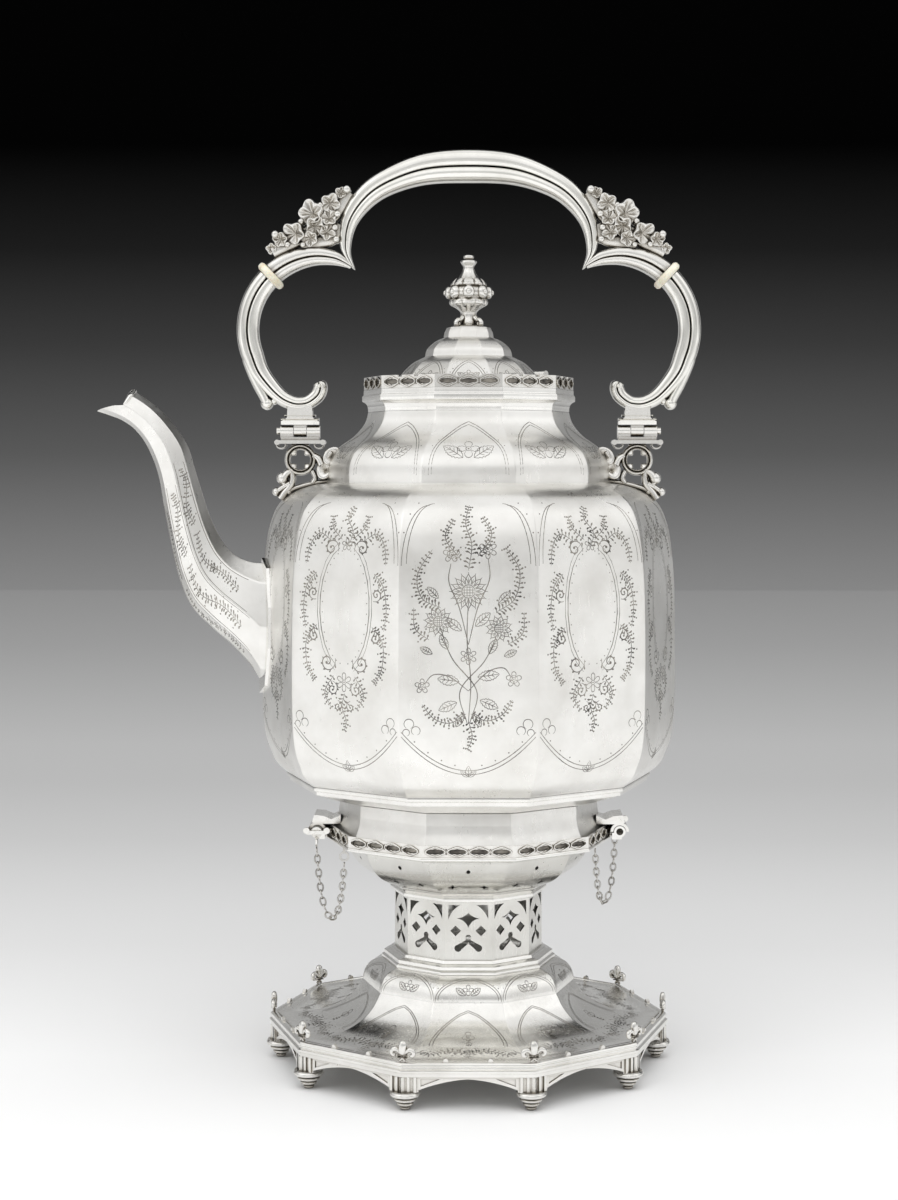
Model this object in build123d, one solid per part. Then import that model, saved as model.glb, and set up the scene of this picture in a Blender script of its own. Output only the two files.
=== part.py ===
from build123d import *
import math
import os
from functools import cache

# Spirit kettle on stand, in silver. A ten-sided kettle with a hinged lid, a bent spout and a
# swinging trefoil handle stands on a ten-sided stand with a pierced neck and a spirit lamp.
# Millimetres, +Z up. Each shape is first made about the stand's own axis, with a flat panel
# facing the front (-Y), the spout on the -X arris, and the feet on z = 0.
# A radius of a ten-sided form is the distance from the axis to its arrises.

# ---------------------------------------------------------------- driving dimensions
SIDES = 10
SHEET = 1.2                     # raised silver sheet
THIN = 1.0                      # rolled strip of the pierced galleries
RUNNING = 0.05                  # radial clearance of a pin in its knuckle
PLAY = 0.15                     # end play between neighbouring knuckles
SEAT_GAP = 0.25                 # between parts that only rest on each other

# stand, from the floor up
FOOT_RING_R = 91.6              # circle through the ten feet
FOOT_HEIGHT = 8.6
FOOT_WIDTH = 14.4
APRON_HEIGHT = 6.8              # arcade between the feet
BASE_R = 95.6
RIM_HEIGHT = 6.6                # moulded edge of the tray
DOME_STEP_R = 50.6              # arris between the two tiers of the raised foot
DOME_STEP_Z = 38.0
DOME_SEAM_R = 41.5              # top of the raised foot
DOME_TOP = 48.6
WAIST_R = 35.1
WAIST_BOTTOM = 54.4
WAIST_TOP = 82.0
BOWL_FOOT_Z = 86.4
BOWL_R = 57.5
STAND_LEDGE_Z = 108.0           # the kettle's foot stands here
STAND_RIM_R = 68.4
STAND_GALLERY_HEIGHT = 5.4

# hinge tubes and their pins
TUBE_X = 71.6                   # the tubes lie along Y, at each side arris
TUBE_Z = 110.4
TUBE_R = 2.75
TUBE_PIN_R = 1.6
TUBE_HALF_LENGTH = 9.0
EYE_HALF_WIDTH = 3.1            # the kettle's eye, between the two tubes
PIN_HEAD_LENGTH = 3.2
RIGHT_PIN_DRAWN = 12.0          # how far the right pin stands drawn out

# kettle
KETTLE_FOOT_R = 61.4
KETTLE_FOOT_FLARE_R = 65.2
KETTLE_FLOOR_Z = 126.8
BODY_FOOT_R = 86.3
BODY_FOOT_Z = 133.8
BODY_BOTTOM_Z = 137.6
BODY_R = 98.0
CREASE_R = 68.4                 # seam between body and shoulder
CREASE_Z = 274.8
NECK_R = 47.4
NECK_Z = 308.2
RIM_R = 50.2
RIM_TOP_Z = 318.4
RIM_GALLERY_R = 49.3
RIM_GALLERY_HEIGHT = 6.0
MOUTH_R = 44.0                  # filling hole

# lid
LID_R = 46.8
LID_BEZEL_R = 42.9
LID_BEZEL_DEPTH = 3.6
LID_STEP_R = 22.0
LID_STEP_Z = 333.6
LID_TOP_R = 10.2
LID_TOP_Z = 348.0
FINIAL_TOP_Z = 382.0
LID_HINGE_AZIMUTH = 144.0       # from the front, turning towards +X
LID_HINGE_OUT = 49.6
LID_HINGE_Z = 327.2
LID_HINGE_R = 2.2
LID_HINGE_PIN_R = 0.9
LID_HINGE_LENGTH = 21.0

# handle
HANDLE_HINGE_X = 79.4
HANDLE_HINGE_Z = 299.5
HANDLE_BARREL_R = 2.6
HANDLE_PIN_R = 1.2
HANDLE_BARREL_LENGTH = 18.6
LEDGE_DROP = 4.4                # hinge axis down to the ledge's top
LEDGE_THICKNESS = 1.6
ROUNDEL_R = 7.8
LOBE_X = 69.5                   # centre of each side lobe of the trefoil
LOBE_Z = 347.0
LOBE_R = 34.4                   # to the middle of the arm
ARM_THICKNESS = 10.5
CROWN_Z = 423.0                 # centre line at the top of the bow
CUSP_X = 53.2
CUSP_Z = 374.8
INSULATOR_ANGLE = 47.0          # round the lobe, above level
INSULATOR_R = 7.6
INSULATOR_THICKNESS = 3.8

# spout
SPOUT_WALL = 1.1
SPOUT_FLANGE = 1.5
SPOUT_ROOT_LOW = 177.8
SPOUT_ROOT_HIGH = 237.2
SPOUT_ROOT_HALF = 15.0
SPOUT_TIP_X = 175.4
SPOUT_TIP_Z = 308.8

# spirit lamp
LAMP_R = 21.5
LAMP_RIM_R = 27.0
LAMP_DEPTH = 22.0
WICK_TUBE_R = 4.0
WICK_TOP_Z = 102.0

# chains
LINK_LENGTH = 4.9
LINK_WIDTH = 3.4
LINK_WIRE = 0.85
CHAIN_DROP = 29.0

# ---------------------------------------------------------------- derived
STEP_ANGLE = 360 / SIDES
HALF_ANGLE = math.radians(STEP_ANGLE / 2)
FLAT = math.cos(HALF_ANGLE)               # apothem of a ten-sided form of radius 1
APRON_TOP = FOOT_HEIGHT + APRON_HEIGHT
RIM_TOP = APRON_TOP + RIM_HEIGHT
STAND_GALLERY_TOP = STAND_LEDGE_Z + STAND_GALLERY_HEIGHT
KETTLE_FOOT_Z = STAND_LEDGE_Z + SEAT_GAP
TUBE_BORE_R = TUBE_PIN_R + RUNNING
KNUCKLE_GAP = EYE_HALF_WIDTH + 2 * PLAY


# ---------------------------------------------------------------- ten-sided forms
def section(points):
    """Closed face in the r-z half plane. A point list inside the list is one smooth curve."""
    edges, last, first = [], None, None
    for item in points:
        run = item if isinstance(item, list) else [item]
        if last is not None and math.dist(last, run[0]) > 1e-6:
            edges.append(Line((last[0], 0, last[1]), (run[0][0], 0, run[0][1])))
        if len(run) > 2:
            edges.append(Spline([(r, 0, z) for r, z in run]))
        elif len(run) == 2:
            edges.append(Line((run[0][0], 0, run[0][1]), (run[1][0], 0, run[1][1])))
        first = first or run[0]
        last = run[-1]
    if math.dist(last, first) > 1e-6:
        edges.append(Line((last[0], 0, last[1]), (first[0], 0, first[1])))
    return make_face(Wire(edges))


def flatten(points):
    """The same outline with arris radii turned into distances to the flats."""
    return [flatten(p) if isinstance(p, list) else (p[0] * FLAT, p[1]) for p in points]


def ten_sided(points):
    """Solid whose section across the middle of every panel is the outline given by its arrises."""
    face = section(flatten(points))
    reach = 1.02 * face.bounding_box().max.X * math.tan(HALF_ANGLE) + 1
    far = 4 * reach
    wedge = Polyline((0, 0), (far, far * math.tan(HALF_ANGLE)), (far, -far * math.tan(HALF_ANGLE)), close=True)
    low, high = face.bounding_box().min.Z - 1, face.bounding_box().max.Z + 1
    sector = Pos(0, 0, low) * extrude(make_face(wedge), amount=high - low)
    panel = extrude(face, amount=far, both=True) & sector
    panels = [Rot(0, 0, STEP_ANGLE * (i + 0.5)) * panel for i in range(SIDES)]
    return panels[0].fuse(*panels[1:])


def offset_run(points, wall):
    """Points moved by the wall to the left of the way they are listed, mitred at the bends."""
    moved = []
    for i, point in enumerate(points):
        before = points[max(i - 1, 0)]
        after = points[min(i + 1, len(points) - 1)]
        ways = [(point[0] - before[0], point[1] - before[1]), (after[0] - point[0], after[1] - point[1])]
        normals = [(-y / math.hypot(x, y), x / math.hypot(x, y)) for x, y in ways if math.hypot(x, y) > 0]
        nx, nz = sum(n[0] for n in normals), sum(n[1] for n in normals)
        size = math.hypot(nx, nz)
        nx, nz = nx / size, nz / size
        reach = wall / (nx * normals[0][0] + nz * normals[0][1])
        moved.append((point[0] + nx * reach, point[1] + nz * reach))
    return moved


def sheet(runs, wall=SHEET):
    """Outline of raised sheet: the runs give its outer face, listed so that the metal is on the left."""
    flat_list = [p for run in runs for p in run]
    thin = [p for i, p in enumerate(flat_list) if i == 0 or p != flat_list[i - 1]]
    moved = dict(zip(thin, offset_run(thin, wall)))
    inner = [[moved[p] for p in reversed(run)] for run in reversed(runs)]
    return [list(run) for run in runs] + inner


def between(start, end, fractions):
    """Outline points from start to end, each given by its share of the way in r and in z."""
    inside = [(start[0] + f * (end[0] - start[0]), start[1] + g * (end[1] - start[1])) for f, g in fractions]
    return [start] + inside + [end]


def at_panels(tool, turn=0.0):
    """Copies of a shape made for the front panel, one for every panel."""
    return [Rot(0, 0, STEP_ANGLE * i + turn) * tool for i in range(SIDES)]


def on_front(outline, distance, depth):
    """Prism through the front panel: the outline's x and y become x and z."""
    return extrude(Plane.XZ.offset(distance - depth) * outline, amount=2 * depth)


def cut_all(body, tools):
    """Body with all the tools cut away in one step."""
    return body.cut(*tools)


def polygon(points):
    """Flat face with straight edges."""
    return make_face(Polyline(*points, close=True))


# ---------------------------------------------------------------- stand
def stepped_foot():
    """Pendant foot of stepped plates, each narrower than the one above."""
    widths = [FOOT_WIDTH, FOOT_WIDTH * 0.52, FOOT_WIDTH * 0.70, FOOT_WIDTH * 0.34, FOOT_WIDTH * 0.44,
              FOOT_WIDTH * 0.24]
    heights = [1.9, 0.5, 1.9, 0.6, 1.8, 1.9]
    z, plates = FOOT_HEIGHT, []
    for width, height in zip(widths, heights):
        plate = extrude(RegularPolygon(width / 2, 6), amount=height)
        z -= height
        plates.append(Pos(0, 0, z) * plate)
    return plates[0].fuse(*plates[1:])


def feet():
    """Ten pendant feet under the arrises."""
    foot = Pos(FOOT_RING_R - FOOT_WIDTH * 0.12, 0, 0) * stepped_foot()
    return Compound(children=[Rot(0, 0, STEP_ANGLE * i) * foot for i in range(SIDES)])


def apron_arcade():
    """Upright band with a flat arch in every panel, sunk spandrels and clustered shafts at the arrises."""
    outer, wall = BASE_R - 1.7, 1.9
    band = ten_sided([(outer - wall, FOOT_HEIGHT), (outer, FOOT_HEIGHT), (outer, APRON_TOP),
                      (outer - wall, APRON_TOP)])
    half_panel = outer * math.sin(HALF_ANGLE)
    half_arch = half_panel - FOOT_WIDTH / 2
    crown, spring = APRON_TOP - 0.9, FOOT_HEIGHT + 1.0
    low = FOOT_HEIGHT - 1
    haunch = (half_arch * 0.56, spring + (crown - spring) * 0.62)
    right = Line((half_arch, low), (half_arch, spring))
    right_arc = ThreePointArc((half_arch, spring), haunch, (0, crown))
    left_arc = ThreePointArc((0, crown), (-haunch[0], haunch[1]), (-half_arch, spring))
    left = Line((-half_arch, spring), (-half_arch, low))
    foot_line = Line((-half_arch, low), (half_arch, low))
    arch = make_face(Wire([right, right_arc, left_arc, left, foot_line]))
    apothem = outer * FLAT
    arch_cut = on_front(arch, apothem, 4)
    spandrel = polygon([(half_arch - 0.9, spring + 1.6), (half_arch - 0.9, APRON_TOP - 0.9),
                        (half_arch * 0.56, APRON_TOP - 0.9)])
    sunk = [on_front(mirror(spandrel, Plane.YZ) if side < 0 else spandrel, apothem, 0.5) for side in (-1, 1)]
    tools = at_panels(arch_cut) + at_panels(sunk[0]) + at_panels(sunk[1])
    band = cut_all(band, tools)
    shafts = []
    for offset in (2.7, 5.6):
        for side in (-1, 1):
            at = side * (half_panel - offset)
            shaft = Pos(at, -apothem, FOOT_HEIGHT) * Box(1.2, 1.4, APRON_HEIGHT, align=(Align.CENTER, Align.CENTER, Align.MIN))
            shafts += at_panels(shaft)
    corner = Pos(outer, 0, FOOT_HEIGHT) * extrude(RegularPolygon(1.1, 4), amount=APRON_HEIGHT)
    shafts += [Rot(0, 0, STEP_ANGLE * i) * corner for i in range(SIDES)]
    return band.fuse(*shafts)


def tray_rim():
    """Moulded edge of the tray: fascia, bead, cove and top bead."""
    z, top = APRON_TOP, RIM_TOP
    return ten_sided([(BASE_R - 5.2, z), (BASE_R - 0.8, z), (BASE_R - 0.8, z + 1.7), (BASE_R, z + 2.0),
                      (BASE_R, z + 3.2), (BASE_R - 1.2, z + 3.6), (BASE_R - 1.4, top - 2.0), (BASE_R - 0.6, top - 1.6),
                      (BASE_R - 0.8, top - 0.6), (BASE_R - 1.6, top), (BASE_R - 3.4, top),
                      (BASE_R - 4.0, top - 1.4), (BASE_R - 5.2, top - 1.4)])


def foot_dome():
    """Raised foot in two tiers that spreads into the dished tray."""
    seat = RIM_TOP - 1.4 + SHEET
    step = (DOME_STEP_R, DOME_STEP_Z)
    brim = [(BASE_R - 4.2, seat), (BASE_R - 5.4, seat)]
    lower = between(brim[1], step, [(0.142, -0.01), (0.304, 0.03), (0.488, 0.086), (0.659, 0.21),
                                    (0.804, 0.407), (0.912, 0.654)])
    upper = between(step, (DOME_SEAM_R, DOME_TOP), [(0.154, 0.245), (0.352, 0.472), (0.659, 0.726)])
    neck = [(DOME_SEAM_R, DOME_TOP), (WAIST_R - 1.5, DOME_TOP)]
    return ten_sided(sheet([brim, lower, upper, neck]))


def waist_moulding_lower():
    """Double moulding between the raised foot and the pierced waist."""
    z = DOME_TOP
    inner = WAIST_R - 1.5
    return ten_sided([(inner, z), (DOME_SEAM_R, z), (DOME_SEAM_R, z + 1.6), (DOME_SEAM_R - 1.3, z + 2.1),
                      (DOME_SEAM_R - 1.1, z + 3.8), (WAIST_R + 1.9, z + 4.4), (WAIST_R + 1.5, WAIST_BOTTOM),
                      (inner, WAIST_BOTTOM)])


def waist_cutters():
    """Tracery of one panel: corner spandrels, a four-cusped eye, two lozenges and a three-lobed drop."""
    height = WAIST_TOP - WAIST_BOTTOM
    half = WAIST_R * math.sin(HALF_ANGLE)
    top, side = height - 1.7, half - 1.6
    ring_z, ring_r = height * 0.62, half * 0.86

    def on_ring(angle):
        return (ring_r * math.cos(math.radians(angle)), ring_z + ring_r * math.sin(math.radians(angle)))

    spandrels = []
    for mirrored in (1, -1):
        a, m, b = on_ring(66), on_ring(45), on_ring(12)
        a, m, b = [(mirrored * p[0], p[1]) for p in (a, m, b)]
        corner = (mirrored * side, top)
        upper = (a[0], top)
        lower = (mirrored * side, b[1])
        arc = ThreePointArc(lower, m, upper)
        spandrels.append(make_face(Wire([arc, Line(upper, corner), Line(corner, lower)])))
    eye_half, eye_z = half * 0.49, height * 0.71
    eye_top, eye_low = (0, height * 0.805), (0, height * 0.55)
    points = [(eye_half, eye_z), eye_top, (-eye_half, eye_z), eye_low]
    pulls = [(eye_half * 0.42, eye_z + 0.9), (-eye_half * 0.42, eye_z + 0.9), (-eye_half * 0.36, eye_z - 1.5),
             (eye_half * 0.36, eye_z - 1.5)]
    arcs = [ThreePointArc(points[i], pulls[i], points[(i + 1) % 4]) for i in range(4)]
    eye = make_face(Wire(arcs))
    lozenge_x, lozenge_z, lozenge = half * 0.54, height * 0.50, 2.5
    lozenges = [polygon([(s * lozenge_x - lozenge, lozenge_z), (s * lozenge_x, lozenge_z + lozenge),
                         (s * lozenge_x + lozenge, lozenge_z), (s * lozenge_x, lozenge_z - lozenge)])
                for s in (-1, 1)]
    hub = (0, height * 0.33)
    drop = Pos(0, height * 0.385) * Circle(1.35)
    drop += polygon([(-1.25, height * 0.385), (1.25, height * 0.385), (1.0, hub[1] - 0.6), (-1.0, hub[1] - 0.6)])
    for s in (-1, 1):
        end = (s * half * 0.44, height * 0.205)
        drop += Pos(*end) * Circle(1.65)
        drop += polygon([(s * 0.2, hub[1] + 0.9), (s * 0.1, hub[1] - 1.3), (end[0] - s * 0.6, end[1] - 1.5),
                         (end[0] + s * 0.4, end[1] + 1.55)])
    return spandrels + [eye] + lozenges + [drop.face()]


def pierced_waist():
    """Ten-sided neck of the stand, every panel cut with the same tracery."""
    wall = ten_sided([(WAIST_R - SHEET, WAIST_BOTTOM), (WAIST_R, WAIST_BOTTOM), (WAIST_R, WAIST_TOP),
                      (WAIST_R - SHEET, WAIST_TOP)])
    tools = []
    for outline in waist_cutters():
        tools += at_panels(Pos(0, 0, WAIST_BOTTOM) * on_front(outline, WAIST_R * FLAT, 3))
    return cut_all(wall, tools)


def waist_moulding_upper():
    """Moulding that joins the pierced waist to the bowl."""
    z = WAIST_TOP
    inner = WAIST_R - 1.5
    return ten_sided([(inner, z), (WAIST_R + 2.2, z), (WAIST_R + 2.2, z + 1.5), (WAIST_R + 1.3, z + 2.1),
                      (WAIST_R + 2.4, z + 3.0), (WAIST_R + 3.6, BOWL_FOOT_Z), (inner, BOWL_FOOT_Z)])


def four_petals(size):
    """Small four-petalled piercing."""
    points = []
    for i in range(8):
        radius = size if i % 2 == 0 else size * 0.32
        angle = math.radians(45 * i)
        points.append((radius * math.cos(angle), radius * math.sin(angle)))
    return polygon(points)


def stand_bowl():
    """Bowl that holds the lamp, open to the waist, with air holes in every panel."""
    top = STAND_LEDGE_Z - 3.6
    wall_run = between((WAIST_R + 3.4, BOWL_FOOT_Z), (BOWL_R, top - 1.2), [
        (0.21, 0.095), (0.447, 0.214), (0.658, 0.369), (0.816, 0.571), (0.921, 0.774)])
    floor_run = [(WAIST_R - 1.5, BOWL_FOOT_Z), wall_run[0]]
    bowl = ten_sided(sheet([floor_run, wall_run, [wall_run[-1], (BOWL_R, top)]]))
    tools = at_panels(on_front(Pos(0, wall_run[5][1]) * RegularPolygon(0.95, 8), BOWL_R * FLAT, 6))
    petal = extrude(four_petals(2.6), amount=8, both=True)
    low, high = wall_run[2], wall_run[3]
    steep = math.degrees(math.atan2(high[1] - low[1], (high[0] - low[0]) * FLAT))
    for side in (-1, 1):
        centre = (side * WAIST_R * 0.205, -(low[0] + high[0]) / 2 * FLAT, (low[1] + high[1]) / 2)
        tools += at_panels(Pos(*centre) * Rot(-steep, 0, 0) * petal)
    return cut_all(bowl, tools)


def gallery_moulding():
    """Moulded rim of the bowl: the ledge that the kettle's foot stands on."""
    z = STAND_LEDGE_Z
    return ten_sided([(BOWL_R - 1.4, z), (BOWL_R - 1.4, z - 3.6), (BOWL_R + 1.0, z - 3.6),
                      [(BOWL_R + 1.0, z - 3.6), (BOWL_R + 4.6, z - 3.2), (BOWL_R + 7.4, z - 2.4),
                       (STAND_RIM_R - 0.5, z - 1.7)],
                      (STAND_RIM_R + 0.3, z - 1.5), (STAND_RIM_R + 0.3, z - 0.6), (STAND_RIM_R, z)])


def pointed_slot(length, height):
    """Slot with pointed ends and a cusp in the middle of each long side."""
    a, b = length / 2, height / 2
    return polygon([(-a, 0), (-a * 0.72, b * 0.8), (-a * 0.3, b * 0.7), (0, b), (a * 0.3, b * 0.7),
                    (a * 0.72, b * 0.8), (a, 0), (a * 0.72, -b * 0.8), (a * 0.3, -b * 0.7), (0, -b),
                    (-a * 0.3, -b * 0.7), (-a * 0.72, -b * 0.8)])


def pierced_gallery(radius, low, height, slots):
    """Upright strip with a row of cusped slots in every panel."""
    band = ten_sided([(radius - THIN, low), (radius, low), (radius, low + height), (radius - THIN, low + height)])
    pitch = (2 * radius * math.sin(HALF_ANGLE) - 2.4) / slots
    tools = []
    for i in range(slots):
        x = pitch * (i - (slots - 1) / 2)
        slot = Pos(x, low + height / 2) * pointed_slot(pitch * 0.78, height * 0.52)
        tools += at_panels(on_front(slot, radius * FLAT, 2.5))
    return cut_all(band, tools)


def fleurs():
    """Ten three-leaved crests, one on the rim over each arris: a tall leaf and two curled ones tied by a band."""
    tall = make_face(Spline([(0, 2.6), (1.0, 4.2), (1.5, 6.2), (0.9, 8.2), (0, 9.6), (-0.9, 8.2), (-1.5, 6.2),
                             (-1.0, 4.2), (0, 2.6)]))
    curl = make_face(Spline([(0.4, 2.6), (1.6, 4.9), (3.3, 6.0), (5.0, 5.4), (5.4, 3.6), (4.4, 2.6), (3.9, 3.6),
                             (3.1, 3.9), (2.0, 3.0), (1.3, 1.6), (0.4, 2.6)]))
    stem = polygon([(-1.9, 0), (1.9, 0), (1.0, 1.4), (1.2, 2.9), (-1.2, 2.9), (-1.0, 1.4)])
    crest = extrude(Plane.YZ * tall, amount=1.2, both=True)
    crest += extrude(Plane.YZ * curl, amount=0.9, both=True) + extrude(Plane.YZ * mirror(curl, Plane.YZ), amount=0.9, both=True)
    crest += extrude(Plane.YZ * stem, amount=0.9, both=True) + Pos(0, 0, 2.6) * Box(2.8, 4.6, 0.9)
    crest = Pos(BASE_R - 2.5, 0, RIM_TOP) * crest
    return Compound(children=[Rot(0, 0, STEP_ANGLE * i) * crest for i in range(SIDES)])


def rim_beads():
    """Two small studs on the rim of every panel."""
    bead = extrude(Plane.YZ * polygon([(-1.3, 0), (1.3, 0), (0.9, 1.2), (0, 1.7), (-0.9, 1.2)]), amount=0.8,
                   both=True)
    out = (BASE_R - 2.5) * FLAT
    third = BASE_R * math.sin(HALF_ANGLE) / 3
    beads = []
    for i in range(SIDES):
        for side in (-1, 1):
            beads.append(Rot(0, 0, STEP_ANGLE * (i + 0.5)) * Pos(out, side * third, RIM_TOP) * bead)
    return Compound(children=beads)


def rod_along_y(radius, low, high):
    """Round rod along Y between two ends."""
    return Pos(0, low, 0) * Rot(-90, 0, 0) * Cylinder(radius, high - low, align=(Align.CENTER, Align.CENTER, Align.MIN))


def stand_tubes(side):
    """Front and back hinge tubes on one side arris of the stand, each with its web on the gallery."""
    tubes = []
    for low in (-TUBE_HALF_LENGTH, KNUCKLE_GAP):
        high = low + TUBE_HALF_LENGTH - KNUCKLE_GAP
        tube = rod_along_y(TUBE_R, low, high)
        web = Pos(-TUBE_R * 0.5, (low + high) / 2, -TUBE_R * 0.75) * Box(4.6, high - low, 3.2)
        tubes.append(tube + web - rod_along_y(TUBE_BORE_R, low - 1, high + 1))
    pair = tubes[0].fuse(tubes[1])
    placed = Pos(-TUBE_X, 0, TUBE_Z) * Rot(0, 0, 180) * pair
    if side > 0:
        placed = mirror(placed, Plane.YZ)
    stand_edge = ten_sided([(0, STAND_LEDGE_Z - 6), (STAND_RIM_R + 0.3, STAND_LEDGE_Z - 6),
                            (STAND_RIM_R + 0.3, STAND_LEDGE_Z), (STAND_RIM_R, STAND_LEDGE_Z),
                            (STAND_RIM_R, STAND_GALLERY_TOP + 1), (0, STAND_GALLERY_TOP + 1)])
    return placed - stand_edge


def chain_rings():
    """Two fixed rings under the rim, front left and back right, that the chains hang from."""
    ring = Rot(90, 0, 0) * octagon_ring(4.6, 4.6, 0.9)
    shank = Pos(0, 0, 3.7) * Box(1.1, 1.1, 3.8)
    rings = []
    for x, y, z in (ring_place(-1), ring_place(1)):
        eye = (Pos(x, y, z + 0.2) * (ring + shank)) - gallery_moulding()
        rings.append(max(eye.solids(), key=lambda part: part.volume))
    return Compound(children=rings)


def ring_place(side):
    """Centre of a fixed chain ring: front left for -1, back right for 1."""
    out = BOWL_R + 5.4
    angle = math.radians(STEP_ANGLE * (0.64 if side < 0 else 0.36))
    return (side * out * math.cos(angle), side * out * math.sin(angle), STAND_LEDGE_Z - 6.9)


# ---------------------------------------------------------------- spirit lamp
def lamp_seat():
    """Plate with air holes that spans the neck and carries the lamp."""
    plate = ten_sided([(0, BOWL_FOOT_Z + SHEET), (WAIST_R + 1.6, BOWL_FOOT_Z + SHEET),
                       (WAIST_R + 1.6, BOWL_FOOT_Z + 2 * SHEET), (0, BOWL_FOOT_Z + 2 * SHEET)])
    tools = [Pos(0, 0, BOWL_FOOT_Z) * Cylinder(LAMP_R + 0.4, 8)]
    air = Pos((LAMP_RIM_R + WAIST_R * FLAT) / 2 + 0.4, 0, BOWL_FOOT_Z) * Cylinder(1.9, 8)
    tools += [Rot(0, 0, STEP_ANGLE * i) * air for i in range(SIDES)]
    return cut_all(plate, tools)


def lamp_font():
    """Round spirit reservoir hanging through the seat by its rim."""
    top = BOWL_FOOT_Z + 2 * SHEET
    outline = [(0, top - LAMP_DEPTH), [(LAMP_R - 7, top - LAMP_DEPTH), (LAMP_R - 1.5, top - LAMP_DEPTH + 4),
                                       (LAMP_R, top - LAMP_DEPTH + 10)],
               (LAMP_R, top), (LAMP_RIM_R - 2, top), (LAMP_RIM_R - 2, top + 1.2), (LAMP_R - 1, top + 1.2),
               [(LAMP_R - 1, top + 1.2), (LAMP_R - 8, top + 4.0), (8.6, top + 5.0)], (0, top + 5.0)]
    well = Pos(0, 0, top - 4) * Cylinder(WICK_TUBE_R - SHEET, 20)
    return revolve(section(outline), Axis.Z) - well


def lamp_cap():
    """Cap with the wick tube."""
    base = BOWL_FOOT_Z + 2 * SHEET + 5.0
    outline = [(WICK_TUBE_R - SHEET, base), (8.0, base), (8.0, base + 2.6), (7.2, base + 3.2),
               (WICK_TUBE_R, base + 3.2), (WICK_TUBE_R, WICK_TOP_Z - 1.2), (WICK_TUBE_R - SHEET, WICK_TOP_Z - 1.2)]
    return revolve(section(outline), Axis.Z)


def lamp_wick():
    """Round wick standing just proud of its tube."""
    low = BOWL_FOOT_Z - 4
    return Pos(0, 0, low) * Cylinder(WICK_TUBE_R - SHEET - 0.1, WICK_TOP_Z + 1.0 - low,
                                     align=(Align.CENTER, Align.CENTER, Align.MIN))


# ---------------------------------------------------------------- kettle
def body_runs():
    """Outer face of the body, from its foot to the seam with the shoulder."""
    foot, middle = (BODY_FOOT_R, BODY_BOTTOM_Z), (BODY_R, (BODY_BOTTOM_Z + 2 * CREASE_Z) / 3 - 39.1)
    top = (CREASE_R, CREASE_Z)
    lower = between(foot, middle, [(0.26, 0.05), (0.49, 0.11), (0.64, 0.19), (0.81, 0.29), (0.93, 0.43), (0.99, 0.66)])
    upper = between(middle, top, [(0.004, 0.21), (0.018, 0.42), (0.048, 0.58), (0.088, 0.69), (0.143, 0.78),
                                  (0.245, 0.868), (0.40, 0.93), (0.61, 0.969), (0.84, 0.993)])
    return lower + upper[1:]


def shoulder_runs():
    """Outer face of the shoulder, from the seam up to the neck."""
    return between((CREASE_R - 1.2, CREASE_Z + 0.5), (NECK_R, NECK_Z), [
        (0, 0.17), (0.04, 0.286), (0.162, 0.42), (0.364, 0.532), (0.636, 0.647), (0.833, 0.769), (0.944, 0.878)])


@cache
def kettle_outside(growth=0.0):
    """Solid bounded by the outer face of body and shoulder."""
    body = [(r + growth, z) for r, z in body_runs()]
    shoulder = [(r + growth, z) for r, z in shoulder_runs()]
    return ten_sided([(0, BODY_BOTTOM_Z), body, shoulder, (0, NECK_Z)])


def kettle_shell():
    """Ten-sided body and shoulder in one raised sheet, open at the neck and at the spout."""
    seam = [(CREASE_R, CREASE_Z), shoulder_runs()[0]]
    shell = ten_sided(sheet([body_runs(), seam, shoulder_runs()]))
    return shell - spout_solid(SPOUT_WALL, 10)


def kettle_base_moulding():
    """Two-step moulding round the foot of the body."""
    inner, low = BODY_FOOT_R - 3.7, BODY_FOOT_Z
    step = (BODY_BOTTOM_Z - low) * 0.45
    return ten_sided([(inner, low), (BODY_FOOT_R - 1.2, low), (BODY_FOOT_R - 1.2, low + step),
                      (BODY_FOOT_R + 0.1, low + step + 0.4), (BODY_FOOT_R + 0.1, BODY_BOTTOM_Z), (inner, BODY_BOTTOM_Z)])


@cache
def kettle_bottom():
    """Bottom of the kettle with an upright edge inside the moulding."""
    edge = BODY_FOOT_R - 3.7
    under = [(0, KETTLE_FLOOR_Z), (KETTLE_FOOT_R - 1.4, KETTLE_FLOOR_Z)]
    slope = between(under[-1], (edge, BODY_FOOT_Z - 0.6), [(0.265, 0.203), (0.664, 0.625)])
    upright = [(edge, BODY_FOOT_Z - 0.6), (edge, BODY_BOTTOM_Z - 0.3)]
    return ten_sided(sheet([under, slope, upright]))


def foot_runs():
    """Outer face of the kettle's foot, from its edge up to the bottom of the kettle."""
    flare = between((KETTLE_FOOT_FLARE_R - 0.2, KETTLE_FOOT_Z + 2.0), (KETTLE_FOOT_R, KETTLE_FOOT_Z + 13.2),
                    [(0.389, 0.304), (0.778, 0.643)])
    return [[(KETTLE_FOOT_FLARE_R, KETTLE_FOOT_Z), flare[0]], flare,
            [flare[-1], (KETTLE_FOOT_R, KETTLE_FLOOR_Z + 0.05)]]


def kettle_foot():
    """Hollow neck and flare that the kettle stands on, inside the stand's gallery."""
    return ten_sided(sheet(foot_runs())) - kettle_bottom()


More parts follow.
